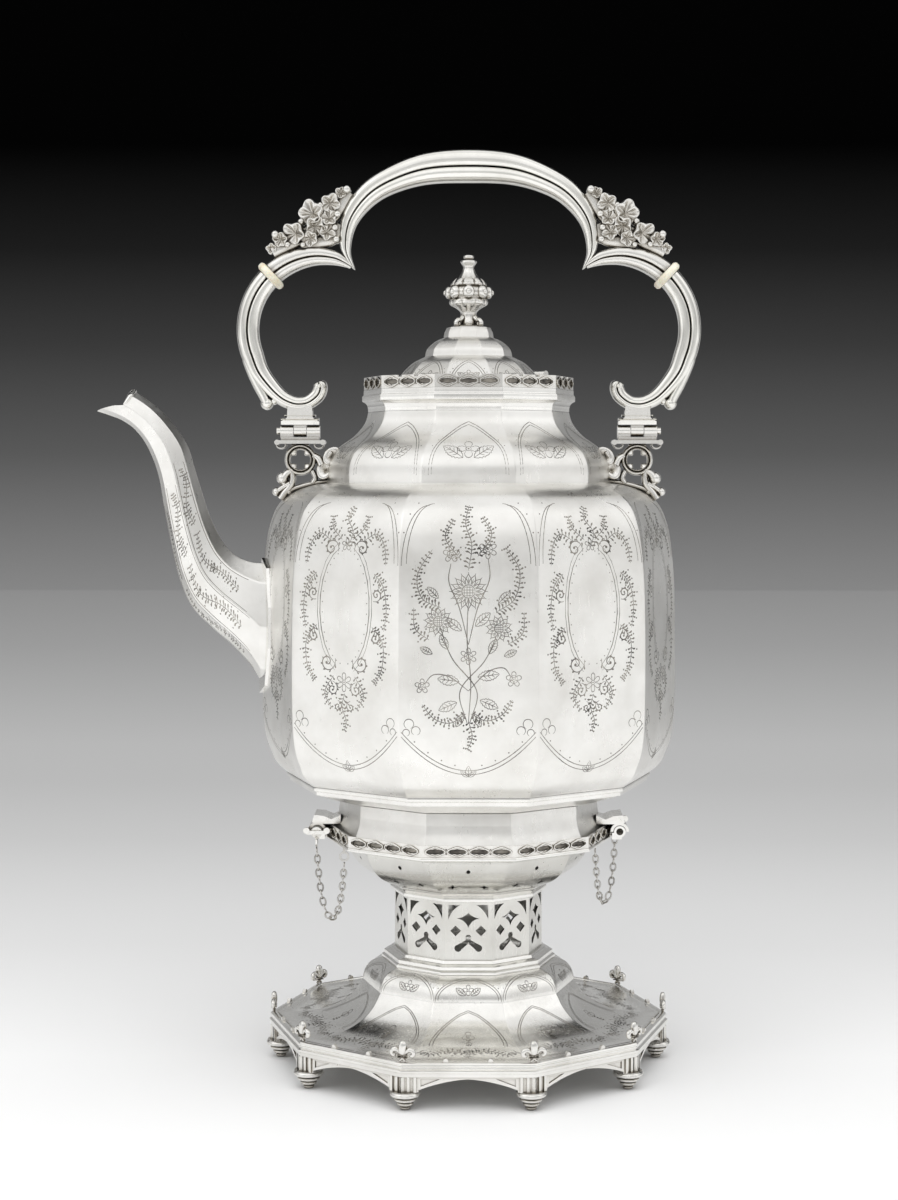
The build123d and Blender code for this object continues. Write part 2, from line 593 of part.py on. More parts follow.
def neck_collar():
    """Spreading collar under the pierced rim."""
    z = NECK_Z
    return ten_sided([(NECK_R - SHEET, z), (NECK_R, z),
                      [(NECK_R, z), (NECK_R + 0.2, z + 2.4), (NECK_R + 1.1, z + 4.0), (RIM_R, z + 5.0)],
                      (RIM_R, z + 7.4), (RIM_R - 0.7, z + 8.0), (RIM_R - 0.7, RIM_TOP_Z), (MOUTH_R + 3.0, RIM_TOP_Z),
                      (MOUTH_R + 3.0, z + 5.0)])


def rim_gallery():
    """Pierced strip round the mouth, its top edge following the piercings."""
    band = pierced_gallery(RIM_GALLERY_R, RIM_TOP_Z, RIM_GALLERY_HEIGHT, 3)
    pitch = (2 * RIM_GALLERY_R * math.sin(HALF_ANGLE) - 2.4) / 3
    top = RIM_TOP_Z + RIM_GALLERY_HEIGHT
    dip = polygon([(-1.5, top + 1), (-1.1, top - 0.9), (1.1, top - 0.9), (1.5, top + 1)])
    tools = []
    for i in (-0.5, 0.5):
        tools += at_panels(on_front(Pos(i * pitch, 0) * dip, RIM_GALLERY_R * FLAT, 2.5))
    return cut_all(band, tools)


def rim_seat():
    """Ledge inside the collar that the lid lies on."""
    return ten_sided([(MOUTH_R, RIM_TOP_Z - SHEET), (MOUTH_R + 3.0, RIM_TOP_Z - SHEET), (MOUTH_R + 3.0, RIM_TOP_Z),
                      (MOUTH_R, RIM_TOP_Z)])


# ---------------------------------------------------------------- spout
def spout_stations():
    """Underside point, topside point and half width of each section, from the root to beyond the mouth."""
    root = BODY_R - 1.0
    under = between((root, SPOUT_ROOT_LOW), (SPOUT_TIP_X, SPOUT_TIP_Z), [
        (0.077, 0.079), (0.185, 0.150), (0.306, 0.214), (0.429, 0.289), (0.503, 0.383), (0.551, 0.498),
        (0.594, 0.631), (0.633, 0.769), (0.694, 0.867), (0.766, 0.930), (0.846, 0.966), (0.925, 0.985)])
    over = between((root, SPOUT_ROOT_HIGH), (SPOUT_TIP_X - 8.4, SPOUT_TIP_Z + 12.8), [
        (0.071, 0.004), (0.143, 0.021), (0.209, 0.054), (0.268, 0.109), (0.320, 0.183), (0.369, 0.277),
        (0.417, 0.401), (0.466, 0.537), (0.510, 0.655), (0.605, 0.774), (0.724, 0.880), (0.871, 0.960)])
    widths = [SPOUT_ROOT_HALF * k for k in (1, 0.96, 0.893, 0.84, 0.787, 0.747, 0.707, 0.667, 0.627, 0.593, 0.573,
                                            0.547, 0.453, 0.24)]
    inside = ((root - 9, SPOUT_ROOT_LOW - 1.8), (root - 9, SPOUT_ROOT_HIGH - 0.2), SPOUT_ROOT_HALF * 1.01)
    return [inside] + list(zip(under, over, widths))


def spout_section(under, over, half_width, wall):
    """Eight-sided section with an arris along the side, on the plane between two outline points."""
    mid = ((under[0] + over[0]) / 2, (under[1] + over[1]) / 2)
    tall = math.dist(under, over) / 2
    plane = Plane(origin=(-mid[0], 0, mid[1]), x_dir=(-(under[0] - mid[0]), 0, under[1] - mid[1]),
                  z_dir=(-(over[1] - mid[1]), 0, -(over[0] - mid[0])))
    a, b = tall - wall, half_width - wall
    pull = 1 - 0.35 * wall / half_width
    points = [(a, 0), (a * 0.70 * pull, b * 0.74), (0, b), (-a * 0.70 * pull, b * 0.74), (-a, 0),
              (-a * 0.70 * pull, -b * 0.74), (0, -b), (a * 0.70 * pull, -b * 0.74)]
    return plane * polygon(points)


@cache
def spout_solid(wall=0.0, beyond=0.0):
    """The spout's outer form, or its passage when a wall is given; it may run on past both ends."""
    stations = spout_stations()
    if beyond:
        under, over, half_width = stations[0]
        stations = [((under[0] - beyond, under[1]), (over[0] - beyond, over[1]), half_width)] + stations
        under, over, half_width = stations[-1]
        stations = stations + [((under[0] + 2.0, under[1] + 3.0), (over[0] + 3.4, over[1] + 3.0), half_width)]
    sections = [spout_section(under, over, half_width, wall) for under, over, half_width in stations]
    return loft(sections)


def mouth_cutter():
    """What is cut from the end of the spout: the slanted mouth and the open top of the beak."""
    x, z = -SPOUT_TIP_X, SPOUT_TIP_Z
    above = polygon([(x + 17.6, z + 20), (x + 17.6, z + 8.8), (x + 13.6, z + 2.4), (x - 6, z + 1.6), (x - 6, z + 20)])
    return extrude(Plane.XZ * above, amount=20, both=True)


@cache
def spout():
    """Bent eight-sided spout, hollow from the body to the mouth, its underside running out to a beak."""
    return spout_solid() - spout_solid(SPOUT_WALL, 10) - kettle_outside(0.02) - mouth_cutter()


def spout_flange():
    """Plate between spout and body, following the arris."""
    low, high = spout_stations()[1][0][1], spout_stations()[1][1][1]
    half = spout_stations()[1][2] + 2.6
    mid, tall = (low + high) / 2, (high - low) / 2 + 2.4
    points = [(0, tall), (half * 0.62, tall * 0.86), (half, tall * 0.3), (half, -tall * 0.3),
              (half * 0.62, -tall * 0.86), (0, -tall), (-half * 0.62, -tall * 0.86), (-half, -tall * 0.3),
              (-half, tall * 0.3), (-half * 0.62, tall * 0.86)]
    prism = Pos(-BODY_R - 10, 0, 0) * extrude(Plane.YZ * Pos(0, mid) * polygon(points), amount=40)
    layer = prism & kettle_outside(SPOUT_FLANGE)
    return layer - kettle_outside(0.02) - spout_solid()


def spout_lip():
    """Raised rim round the upper half of the mouth, leaf-shaped from the side."""
    x, z = -SPOUT_TIP_X, SPOUT_TIP_Z
    leaf = make_face(Spline([(x + 15.0, z + 0.4), (x + 12.8, z + 3.2), (x + 12.0, z + 6.8), (x + 13.2, z + 10.0),
                             (x + 15.2, z + 11.1), (x + 17.0, z + 10.1), (x + 17.8, z + 6.8), (x + 16.8, z + 3.2),
                             (x + 15.0, z + 0.4)]))
    rim = extrude(Plane.XZ * leaf, amount=14, both=True) & spout_solid(-0.9)
    rim = rim - spout_solid(SPOUT_WALL, 10) - spout()
    return max(rim.solids(), key=lambda part: part.volume)


# ---------------------------------------------------------------- handle hinges and their lugs
def roundel_plate(thickness):
    """Ring with a four-lobed opening."""
    ring = Circle(ROUNDEL_R) - Circle(ROUNDEL_R - 1.9)
    tracery = Circle(ROUNDEL_R - 1.7) - Circle(1.9)
    for i in range(4):
        tracery -= Rot(0, 0, 90 * i) * Pos(2.75, 0) * Circle(2.3)
    plate = extrude(ring, amount=thickness / 2, both=True)
    return plate + extrude(tracery, amount=thickness * 0.3, both=True)


def lug(side):
    """Roundel bracket between shoulder and handle hinge, with a leaf to the shoulder and a scrolled foot."""
    ledge_under = HANDLE_HINGE_Z - LEDGE_DROP - LEDGE_THICKNESS
    x, z = HANDLE_HINGE_X, ledge_under - ROUNDEL_R - 0.1
    roundel = Pos(x, 0, z) * Rot(90, 0, 0) * roundel_plate(4.4)
    cap = Pos(x, 0, ledge_under) * Box(9.0, 5.6, 2.4, align=(Align.CENTER, Align.CENTER, Align.MAX))
    leaf = Spline([(x - 6.9, z + 2.6), (x - 9.4, z + 1.4), (x - 12.8, z + 2.4), (x - 15.4, z + 5.0), (x - 17.6, z + 1.4),
                   (x - 17.4, z - 6.2), (x - 14.6, z - 9.2), (x - 11.4, z - 5.6), (x - 9.0, z - 3.6), (x - 6.9, z - 3.4)])
    leaf = Wire([leaf, Line((x - 6.9, z - 3.4), (x - 6.9, z + 2.6))])
    stem = Spline([(x - 3.6, z - 6.5), (x - 6.2, z - 11.2), (x - 3.0, z - 18), (x + 4.8, z - 20.4), (x + 11.4, z - 20.8),
                   (x + 14.6, z - 16.6), (x + 12.4, z - 13.6), (x + 13.6, z - 9.8), (x + 10.6, z - 7.8),
                   (x + 7.6, z - 9.4), (x + 5.6, z - 5.4)])
    stem = Wire([stem, Line((x + 5.6, z - 5.4), (x - 3.6, z - 6.5))])
    body = extrude(Plane.XZ * make_face(leaf), amount=2.0, both=True)
    foot = extrude(Plane.XZ * make_face(stem), amount=2.6, both=True)
    clear = Pos(x, 0, z) * Rot(90, 0, 0) * Cylinder(ROUNDEL_R - 0.1, 9)
    curl = Pos(x + 10.6, 0, z - 10.8) * Rot(90, 0, 0) * Cylinder(2.7, 7.0)
    curl += Pos(x + 12.0, 0, z - 17.0) * Rot(90, 0, 0) * Cylinder(2.3, 6.6)
    solid = roundel + cap + (body - clear) + (foot - clear) + curl
    solid = solid - kettle_outside(0.02)
    return solid if side > 0 else mirror(solid, Plane.YZ)


def knuckle(radius, pin_radius, low, high):
    """Knuckle along X."""
    ring = Circle(radius) - Circle(pin_radius + RUNNING)
    return extrude(Plane.YZ.offset(low) * ring, amount=high - low)


def hinge_lower(side):
    """Scrolled ledge and block with the two outer knuckles of a handle hinge."""
    x, z = HANDLE_HINGE_X, HANDLE_HINGE_Z
    third = HANDLE_BARREL_LENGTH / 6
    half = HANDLE_BARREL_LENGTH / 2
    ledge_z = z - LEDGE_DROP
    ledge = Pos(x, 0, ledge_z) * Box(21.0, 8.0, LEDGE_THICKNESS, align=(Align.CENTER, Align.CENTER, Align.MAX))
    block = Pos(x, 0, ledge_z) * Box(17.9, 5.2, 1.5, align=(Align.CENTER, Align.CENTER, Align.MIN))
    piece = ledge + block
    for s in (-1, 1):
        piece += Pos(x + s * 10.8, 0, ledge_z - LEDGE_THICKNESS * 0.6) * Rot(90, 0, 0) * Cylinder(1.25, 8.0)
        low, high = sorted((x + s * (third + PLAY), x + s * half))
        foot = Pos((low + high) / 2, 0, ledge_z + 0.9) * Box(high - low, 4.4, 3.4, align=(Align.CENTER, Align.CENTER, Align.MIN))
        bore = extrude(Plane.YZ.offset(low - 1) * Circle(HANDLE_PIN_R + RUNNING), amount=high - low + 2)
        barrel = extrude(Plane.YZ.offset(low) * (Pos(0, z) * Circle(HANDLE_BARREL_R)), amount=high - low)
        piece += (foot + barrel) - Pos(0, 0, z) * bore
    swing = extrude(Plane.YZ.offset(x - third - PLAY) * (Pos(0, z) * Circle(HANDLE_BARREL_R + 0.3)),
                    amount=2 * (third + PLAY))
    piece = piece - swing
    return piece if side > 0 else mirror(piece, Plane.YZ)


def hinge_pin(side):
    """Pin of a handle hinge, with a ball on the outer end."""
    x, half = HANDLE_HINGE_X, HANDLE_BARREL_LENGTH / 2
    shaft = extrude(Plane.YZ.offset(x - half) * Circle(HANDLE_PIN_R), amount=2 * half + 0.6)
    ball = Pos(x + half + 1.0, 0, 0) * Rot(0, 90, 0) * Cylinder(1.7, 1.6)
    pin = Pos(0, 0, HANDLE_HINGE_Z) * (shaft + ball)
    return pin if side > 0 else mirror(pin, Plane.YZ)


def hinge_upper(side):
    """Centre knuckle and bracket that carries the handle."""
    x, z = HANDLE_HINGE_X, HANDLE_HINGE_Z
    third = HANDLE_BARREL_LENGTH / 6
    low, high = x - third + PLAY, x + third - PLAY
    barrel = extrude(Plane.YZ.offset(low) * (Pos(0, z) * Circle(HANDLE_BARREL_R)), amount=high - low)
    neck = Pos(x, 0, z + 1.0) * Box(high - low, 4.0, 2.2, align=(Align.CENTER, Align.CENTER, Align.MIN))
    bore = Pos(0, 0, z) * extrude(Plane.YZ.offset(low - 1) * Circle(HANDLE_PIN_R + RUNNING), amount=high - low + 2)
    base = z + HANDLE_BARREL_R + 0.35
    sides = [(17.9, 5.0, 0), (17.9, 5.6, 1.5), (12.2, 6.6, 3.2), (11.4, 7.2, 9.0)]
    faces = [Pos(x, 0, base + up) * Rectangle(wide, deep) for wide, deep, up in sides]
    bracket = loft(faces, ruled=True)
    piece = barrel + (neck - bore) + bracket - bore
    piece = piece - handle_arm(1)
    return piece if side > 0 else mirror(piece, Plane.YZ)


# ---------------------------------------------------------------- handle
def moulded_section(plane, thickness, depth):
    """Fluted section: two flutes on each side of a rounded bar."""
    t, d = thickness / 2, depth / 2
    points = [(t, 0), (t * 0.88, d * 0.55), (t * 0.56, d * 0.86), (t * 0.26, d * 0.90), (t * 0.06, d * 0.80),
              (-t * 0.20, d * 1.0), (-t * 0.62, d * 0.84), (-t * 0.92, d * 0.46)]
    outline = points + [(-t, 0)] + [(u, -v) for u, v in reversed(points[1:])]
    return plane * polygon(outline)


def lobe_plane(angle, radius=LOBE_R):
    """Plane across the side lobe at an angle, its x pointing out of the lobe."""
    c, s = math.cos(math.radians(angle)), math.sin(math.radians(angle))
    return Plane(origin=(LOBE_X + radius * c, 0, LOBE_Z + radius * s), x_dir=(c, 0, s), z_dir=(-s, 0, c))


@cache
def handle_arm(side):
    """Side lobe of the trefoil, from the heat stop down to the hinge, ending in scrolls."""
    depth = ARM_THICKNESS * 0.86
    planes = [lobe_plane(INSULATOR_ANGLE).offset(-INSULATOR_THICKNESS / 2)]
    planes += [lobe_plane(a) for a in (24, 2, -22, -46, -68, -84, -96)]
    swell = [1.02, 1.0, 1.0, 1.0, 1.0, 0.94, 0.78, 0.44]
    arm = loft([moulded_section(plane, ARM_THICKNESS * k, depth * k) for plane, k in zip(planes, swell)])
    end = lobe_plane(-92, LOBE_R - 4.6).origin
    curl = Pos(end.X, 0, end.Z) * Rot(90, 0, 0) * Cylinder(3.3, depth * 0.8)
    along = [(-22, 3.6), (-32, 5.8), (-42, 7.4), (-50, 7.6), (-55, 6.4), (-54, 4.4), (-48, 3.2)]
    spur = Spline([(lobe_plane(a, LOBE_R + out).origin.X, lobe_plane(a, LOBE_R + out).origin.Z) for a, out in along])
    spur = Wire([spur, Line(spur @ 1, spur @ 0)])
    spur = extrude(Plane.XZ * make_face(spur), amount=depth * 0.33, both=True)
    arm = arm + curl + spur
    return arm if side > 0 else mirror(arm, Plane.YZ)


def insulator(side):
    """Round heat stop between arm and bow."""
    ring = extrude(lobe_plane(INSULATOR_ANGLE) * Circle(INSULATOR_R), amount=INSULATOR_THICKNESS / 2, both=True)
    ring = chamfer(ring.edges().filter_by(GeomType.CIRCLE), 0.9)
    for pin in insulator_pin_solids():
        ring = ring - pin
    return ring if side > 0 else mirror(ring, Plane.YZ)


def insulator_pin_solids():
    """Two pins through a heat stop, as solids on the right-hand side."""
    plane = lobe_plane(INSULATOR_ANGLE)
    return [extrude(plane * Pos(u, 0) * Circle(0.9), amount=INSULATOR_THICKNESS / 2, both=True) for u in (-2.6, 2.6)]


def insulator_pins():
    """Pins that tie bow and arms together through the heat stops."""
    right = insulator_pin_solids()
    return Compound(children=right + [mirror(pin, Plane.YZ) for pin in right])


def bow_stations():
    """Inner and outer outline points of the right half of the bow, from the crown to the cusp."""
    z, thick = CROWN_Z, 15.4
    return [((0, z - thick / 2), (0, z + thick / 2)), ((19.6, z - 8.2), (21.6, z + 5.8)),
            ((34.4, z - 12.4), (40.0, z - 1.8)), ((45.2, z - 19.0), (52.6, z - 11.0)),
            ((CUSP_X, z - 28.6), (CUSP_X + 7.4, z - 25.0)), ((CUSP_X + 2.2, z - 38.6), (CUSP_X + 7.0, z - 38.0)),
            ((CUSP_X, CUSP_Z), (CUSP_X + 1.6, CUSP_Z + 0.6))]


@cache
def handle_bow():
    """Upper lobe of the trefoil, thick at the crown and running out to a point at each cusp."""
    half = bow_stations()
    both = [((-i[0], i[1]), (-o[0], o[1])) for i, o in reversed(half[1:])] + half
    depth = [2.2, 5.0, 7.0, 8.6, 9.6, 10.4, 10.8, 10.4, 9.6, 8.6, 7.0, 5.0, 2.2]
    sections = []
    for (inner, outer), deep in zip(both, depth):
        mid = ((inner[0] + outer[0]) / 2, (inner[1] + outer[1]) / 2)
        way = (outer[0] - inner[0], outer[1] - inner[1])
        plane = Plane(origin=(mid[0], 0, mid[1]), x_dir=(way[0], 0, way[1]), z_dir=(way[1], 0, -way[0]))
        sections.append(moulded_section(plane, math.dist(inner, outer), deep))
    return loft(sections)


def leaf_blade(size):
    """Small five-lobed leaf lying in its own plane."""
    points = []
    for i in range(15):
        angle = math.radians(24 * i + 90)
        radius = size * (1.0 if i % 3 == 0 else 0.74)
        points.append((radius * math.cos(angle), radius * math.sin(angle)))
    blade = extrude(polygon(points), amount=0.8, both=True)
    boss = loft([Circle(size * 0.36), Pos(0, 0, 1.7) * Circle(size * 0.2)])
    return blade + boss


def leaf_mount(side):
    """Upper end of the side lobe with the cluster of curling leaves in the nook of the bow."""
    stations = [(68, LOBE_R, 0.94), (86, LOBE_R, 0.82), (102, LOBE_R - 0.4, 0.62), (116, LOBE_R - 1.6, 0.27)]
    sections = [moulded_section(lobe_plane(INSULATOR_ANGLE).offset(INSULATOR_THICKNESS / 2), ARM_THICKNESS,
                                ARM_THICKNESS * 0.86)]
    sections += [moulded_section(lobe_plane(a, r), ARM_THICKNESS * k, ARM_THICKNESS * 0.86 * k) for a, r, k in stations]
    band = loft(sections)
    leaves = [(CUSP_X + 23.5, 395.4, 7.0, 24, 40), (CUSP_X + 12.6, 399.6, 6.0, -26, 20), (CUSP_X + 31.4, 387.8, 6.0, 28, 60),
              (CUSP_X + 16, 389.0, 5.6, -18, 0), (CUSP_X + 6.2, 407.2, 4.2, 15, 30), (CUSP_X + 38.4, 382.2, 4.0, 10, 70)]
    cluster = None
    for x, z, size, tilt, turn in leaves:
        leaf = Pos(x, -2.2, z) * Rot(90, 0, 0) * Rot(0, 0, turn) * Rot(tilt, 0, 0) * leaf_blade(size)
        pair = leaf + mirror(leaf, Plane.XZ)
        cluster = pair if cluster is None else cluster + pair
    core = polygon([(CUSP_X + 5, 384), (CUSP_X + 37, 381), (CUSP_X + 29, 391), (CUSP_X + 18, 398.6), (CUSP_X + 5, 409),
                    (CUSP_X + 2, 404), (CUSP_X + 6, 396)])
    cluster = cluster + extrude(Plane.XZ * core, amount=2.6, both=True)
    mount = (band + cluster) - handle_bow()
    solids = sorted(mount.solids(), key=lambda s: s.volume)
    mount = solids[-1]
    return mount if side > 0 else mirror(mount, Plane.YZ)


# ---------------------------------------------------------------- saddles on the stand's tubes
def foot_arm(side):
    """Arm from the kettle's foot with a saddle over both tubes and an eye between them."""
    inner_r, outer_r = TUBE_R + 0.3, TUBE_R + 1.65
    rise = TUBE_Z + outer_r
    half = TUBE_HALF_LENGTH
    plate = polygon([(KETTLE_FOOT_R - 1, STAND_GALLERY_TOP + 0.6), (TUBE_X + 1.0, STAND_GALLERY_TOP + 0.6),
                     (TUBE_X + 2.4, rise), (TUBE_X + 1.4, rise + 3.4), (TUBE_X - 3.0, rise + 3.0),
                     (KETTLE_FOOT_R + 3.4, rise + 1.4), (KETTLE_FOOT_R - 1, rise + 3.4)])
    arm = extrude(Plane.XZ * plate, amount=half, both=True)
    saddle = extrude(Plane.XZ * (Pos(TUBE_X, TUBE_Z) * Circle(outer_r)), amount=half, both=True)
    saddle = saddle - Pos(TUBE_X, 0, TUBE_Z) * Box(20, 40, 20, align=(Align.CENTER, Align.CENTER, Align.MAX))
    hollow = extrude(Plane.XZ * (Pos(TUBE_X, TUBE_Z) * Circle(inner_r)), amount=half + 1, both=True)
    room_r = STAND_RIM_R + SEAT_GAP
    stand_room = ten_sided([(0, 100), (room_r + 0.3, 100), (room_r + 0.3, STAND_LEDGE_Z + SEAT_GAP),
                            (room_r - 0.3, STAND_LEDGE_Z + SEAT_GAP), (room_r - 0.3, STAND_GALLERY_TOP + SEAT_GAP),
                            (0, STAND_GALLERY_TOP + SEAT_GAP)])
    body = (arm + saddle) - hollow
    eye = extrude(Plane.XZ * (Pos(TUBE_X, TUBE_Z) * Circle(inner_r + 0.2)), amount=EYE_HALF_WIDTH, both=True)
    low_cut = Pos(TUBE_X, 0, TUBE_Z) * Box(3 * TUBE_R, 40, 2 * TUBE_R, align=(Align.CENTER, Align.CENTER, Align.MAX))
    ring = extrude(Plane.XZ * (Pos(TUBE_X, TUBE_Z) * Circle(TUBE_R)), amount=EYE_HALF_WIDTH, both=True)
    eye = (eye - low_cut) + ring
    bore = extrude(Plane.XZ * (Pos(TUBE_X, TUBE_Z) * Circle(TUBE_BORE_R)), amount=half + 1, both=True)
    foot_core = ten_sided([(0, KETTLE_FOOT_Z)] + foot_runs() + [(0, KETTLE_FLOOR_Z + 0.05)])
    body = (body + eye) - bore - stand_room - foot_core
    return body if side > 0 else mirror(body, Plane.YZ)


# ---------------------------------------------------------------- pins and chains
def octagon_ring(length, width, wire):
    """Link of square wire with an eight-sided outline, in the XY plane."""
    def outline(a, b):
        cut = min(a, b) * 0.55
        return polygon([(a - cut, b), (a, b - cut), (a, -b + cut), (a - cut, -b), (-a + cut, -b), (-a, -b + cut),
                        (-a, b - cut), (-a + cut, b)])
    outer, inner = outline(length / 2, width / 2), outline(length / 2 - wire, width / 2 - wire)
    return extrude(outer - inner, amount=wire / 2, both=True)


def pin_solid():
    """Pull-out pin along Y with its head at the front: a scrolled bar and a ring for the chain."""
    back = TUBE_HALF_LENGTH - 1.0
    front = -TUBE_HALF_LENGTH - SEAT_GAP
    shaft = extrude(Plane.XZ.offset(-back) * Circle(TUBE_PIN_R), amount=back - front + 0.5)
    head = Pos(0, front, 0) * Rot(90, 0, 0) * Cylinder(2.6, PIN_HEAD_LENGTH, align=(Align.CENTER, Align.CENTER, Align.MIN))
    bar_y = front - PIN_HEAD_LENGTH * 0.85
    bar = Pos(0, bar_y, 0) * Box(9.6, 1.8, 1.8)
    for s in (-1, 1):
        bar += Pos(s * 4.8, bar_y, 0.9) * Rot(90, 0, 0) * Cylinder(1.5, 2.0)
    ring = Pos(0, bar_y, -4.3) * Rot(0, 90, 0) * octagon_ring(4.6, 4.6, 0.9)
    return shaft + head + bar + ring


def pull_pin(side):
    """Left pin pushed home from the front, right pin drawn out at the back."""
    if side < 0:
        return Pos(-TUBE_X, 0, TUBE_Z) * pin_solid()
    return Pos(TUBE_X, RIGHT_PIN_DRAWN, TUBE_Z) * Rot(0, 0, 180) * pin_solid()


def catenary(start, end, drop, pitch):
    """Points at even steps along a hanging chain between two points of about the same height."""
    span = math.hypot(end[0] - start[0], end[1] - start[1])
    low, high = span / 40, span * 4
    for _ in range(60):
        a = (low + high) / 2
        sag = a * (math.cosh(span / 2 / a) - 1)
        low, high = (a, high) if sag > drop else (low, a)
    length = 2 * a * math.sinh(span / 2 / a)
    count = round(length / pitch)
    places = []
    for i in range(count):
        s = (i + 0.5) * length / count - length / 2
        h = a * math.asinh(s / a)
        t = h / span + 0.5
        z = start[2] + (end[2] - start[2]) * t - drop + a * (math.cosh(h / a) - 1)
        slope = math.sinh(h / a)
        places.append(((start[0] + (end[0] - start[0]) * t, start[1] + (end[1] - start[1]) * t, z), slope))
    return places


def chain(side):
    """Retaining chain of oval links from the pin's ring to the fixed ring."""
    head_y = -TUBE_HALF_LENGTH - SEAT_GAP - PIN_HEAD_LENGTH * 0.85
    pin_y = head_y if side < 0 else RIGHT_PIN_DRAWN - head_y
    hang = LINK_WIRE + 0.3
    start = (side * TUBE_X, pin_y, TUBE_Z - 6.6 - hang)
    ring = ring_place(side)
    end = (ring[0], ring[1], ring[2] - 2.1 - hang)
    heading = math.degrees(math.atan2(end[1] - start[1], end[0] - start[0]))
    link = octagon_ring(LINK_LENGTH, LINK_WIDTH, LINK_WIRE)
    links = []
    for i, (place, slope) in enumerate(catenary(start, end, CHAIN_DROP, LINK_LENGTH - 2 * LINK_WIRE)):
        roll = 45 if i % 2 == 0 else -45
        tilt = -math.degrees(math.atan(slope))
        links.append(Pos(*place) * Rot(0, 0, heading) * Rot(0, tilt, 0) * Rot(roll, 0, 0) * link)
    return Compound(children=links)


# ---------------------------------------------------------------- lid
def lid_tier():
    """Outer face of the lid's lower dome, from the brim to the step."""
    foot = (LID_BEZEL_R - 3.3, RIM_TOP_Z + SEAT_GAP + 1.5 * SHEET)
    return between(foot, (LID_STEP_R, LID_STEP_Z), [(0.182, 0.133), (0.375, 0.316), (0.568, 0.605), (0.761, 0.833)])


def lid_shell():
    """Stepped lid: a flat brim and two domed tiers under the finial's plinth."""
    low = RIM_TOP_Z + SEAT_GAP
    lower = lid_tier()
    brim = [(LID_R, low + SHEET), lower[0]]
    upper = between((LID_STEP_R - 1.4, LID_STEP_Z + 0.6), (LID_TOP_R + 1.6, LID_TOP_Z - 4.9), [
        (0.114, 0.404), (0.432, 0.719), (0.727, 0.899)])
    step = [lower[-1], upper[0]]
    plinth = [upper[-1], (LID_TOP_R + 1.2, LID_TOP_Z - 2.4)]
    cap = [plinth[-1], (LID_TOP_R, LID_TOP_Z)]
    top = [cap[-1], (2.4, LID_TOP_Z)]
    shell = ten_sided(sheet([brim, lower, step, upper, plinth, cap, top]))
    vent = on_front(Pos(0, LID_TOP_Z - 6.2) * Ellipse(3.9, 1.25), (LID_TOP_R + 3) * FLAT, 4)
    return shell - vent


def lid_bezel():
    """Strip inside the lid that centres it in the mouth."""
    low = RIM_TOP_Z + SEAT_GAP
    return ten_sided([(LID_BEZEL_R - THIN, low - LID_BEZEL_DEPTH), (LID_BEZEL_R, low - LID_BEZEL_DEPTH),
                      (LID_BEZEL_R, low), (LID_BEZEL_R - THIN, low)])


def finial():
    """Bud finial: scrolled foot, baluster, a band of bosses and a small knop."""
    z = LID_TOP_Z
    outline = [(1.5, z), (7.2, z), (7.4, z + 1.0), (4.4, z + 3.0), (4.0, z + 5.4), (4.6, z + 7.5), (8.3, z + 10.9),
               (10.0, z + 13.0), (10.2, z + 16.4), (9.4, z + 18.9), (7.6, z + 20.2), (4.4, z + 22.8), (2.8, z + 26.0),
               (3.7, z + 29.6), (2.0, z + 30.9), (2.4, z + 32.4), (1.7, z + 33.8), (0, FINIAL_TOP_Z), (0, z + 4),
               (1.5, z + 4)]
    bud = revolve(section(outline), Axis.Z)
    boss = Pos(10.0, 0, z + 14.8) * Rot(0, 90, 0) * extrude(RegularPolygon(1.9, 6), amount=1.5)
    scroll = Pos(6.6, 0, z + 1.6) * Rot(90, 0, 0) * extrude(RegularPolygon(1.6, 6), amount=1.3, both=True)
    extras = []
    for i in range(8):
        extras.append(Rot(0, 0, 45 * i) * boss)
        if i % 2 == 0:
            extras.append(Rot(0, 0, 45 * i + 22.5) * scroll)
    return bud.fuse(*extras)


def finial_nut():
    """Screw and nut that hold the finial from inside the lid."""
    z = LID_TOP_Z
    stem = Pos(0, 0, z - SHEET - 2.4) * Cylinder(1.45, SHEET + 6.2, align=(Align.CENTER, Align.CENTER, Align.MIN))
    nut = Pos(0, 0, z - SHEET - 2.4) * extrude(RegularPolygon(3.6, 6), amount=2.3)
    return stem + nut


def turned_to_hinge(shape):
    """A shape made with the lid hinge at the front, moved round to its real place."""
    return Rot(0, 0, LID_HINGE_AZIMUTH) * shape


def lid_hinge_leaf():
    """Fixed leaf on the back of the collar with the two outer knuckles."""
    out, z, third = LID_HINGE_OUT, LID_HINGE_Z, LID_HINGE_LENGTH / 6
    face = RIM_R * FLAT
    leaf = Pos(0, -face - 0.02, NECK_Z + 5.4) * Box(LID_HINGE_LENGTH, 1.5, z - NECK_Z - 5.4,
                                                    align=(Align.CENTER, Align.MAX, Align.MIN))
    barrel = extrude(Plane.YZ.offset(-LID_HINGE_LENGTH / 2) * (Pos(-out, z) * Circle(LID_HINGE_R)), amount=LID_HINGE_LENGTH)
    swing = extrude(Plane.YZ.offset(-third - PLAY) * (Pos(-out, z) * Circle(LID_HINGE_R + 0.3)), amount=2 * (third + PLAY))
    above = Pos(0, -out + 6, z + 0.2) * Box(2 * (third + PLAY), 12, 8, align=(Align.CENTER, Align.CENTER, Align.CENTER))
    bore = extrude(Plane.YZ.offset(-20) * (Pos(-out, z) * Circle(LID_HINGE_PIN_R + RUNNING)), amount=40)
    return turned_to_hinge((leaf + barrel) - swing - above - bore)


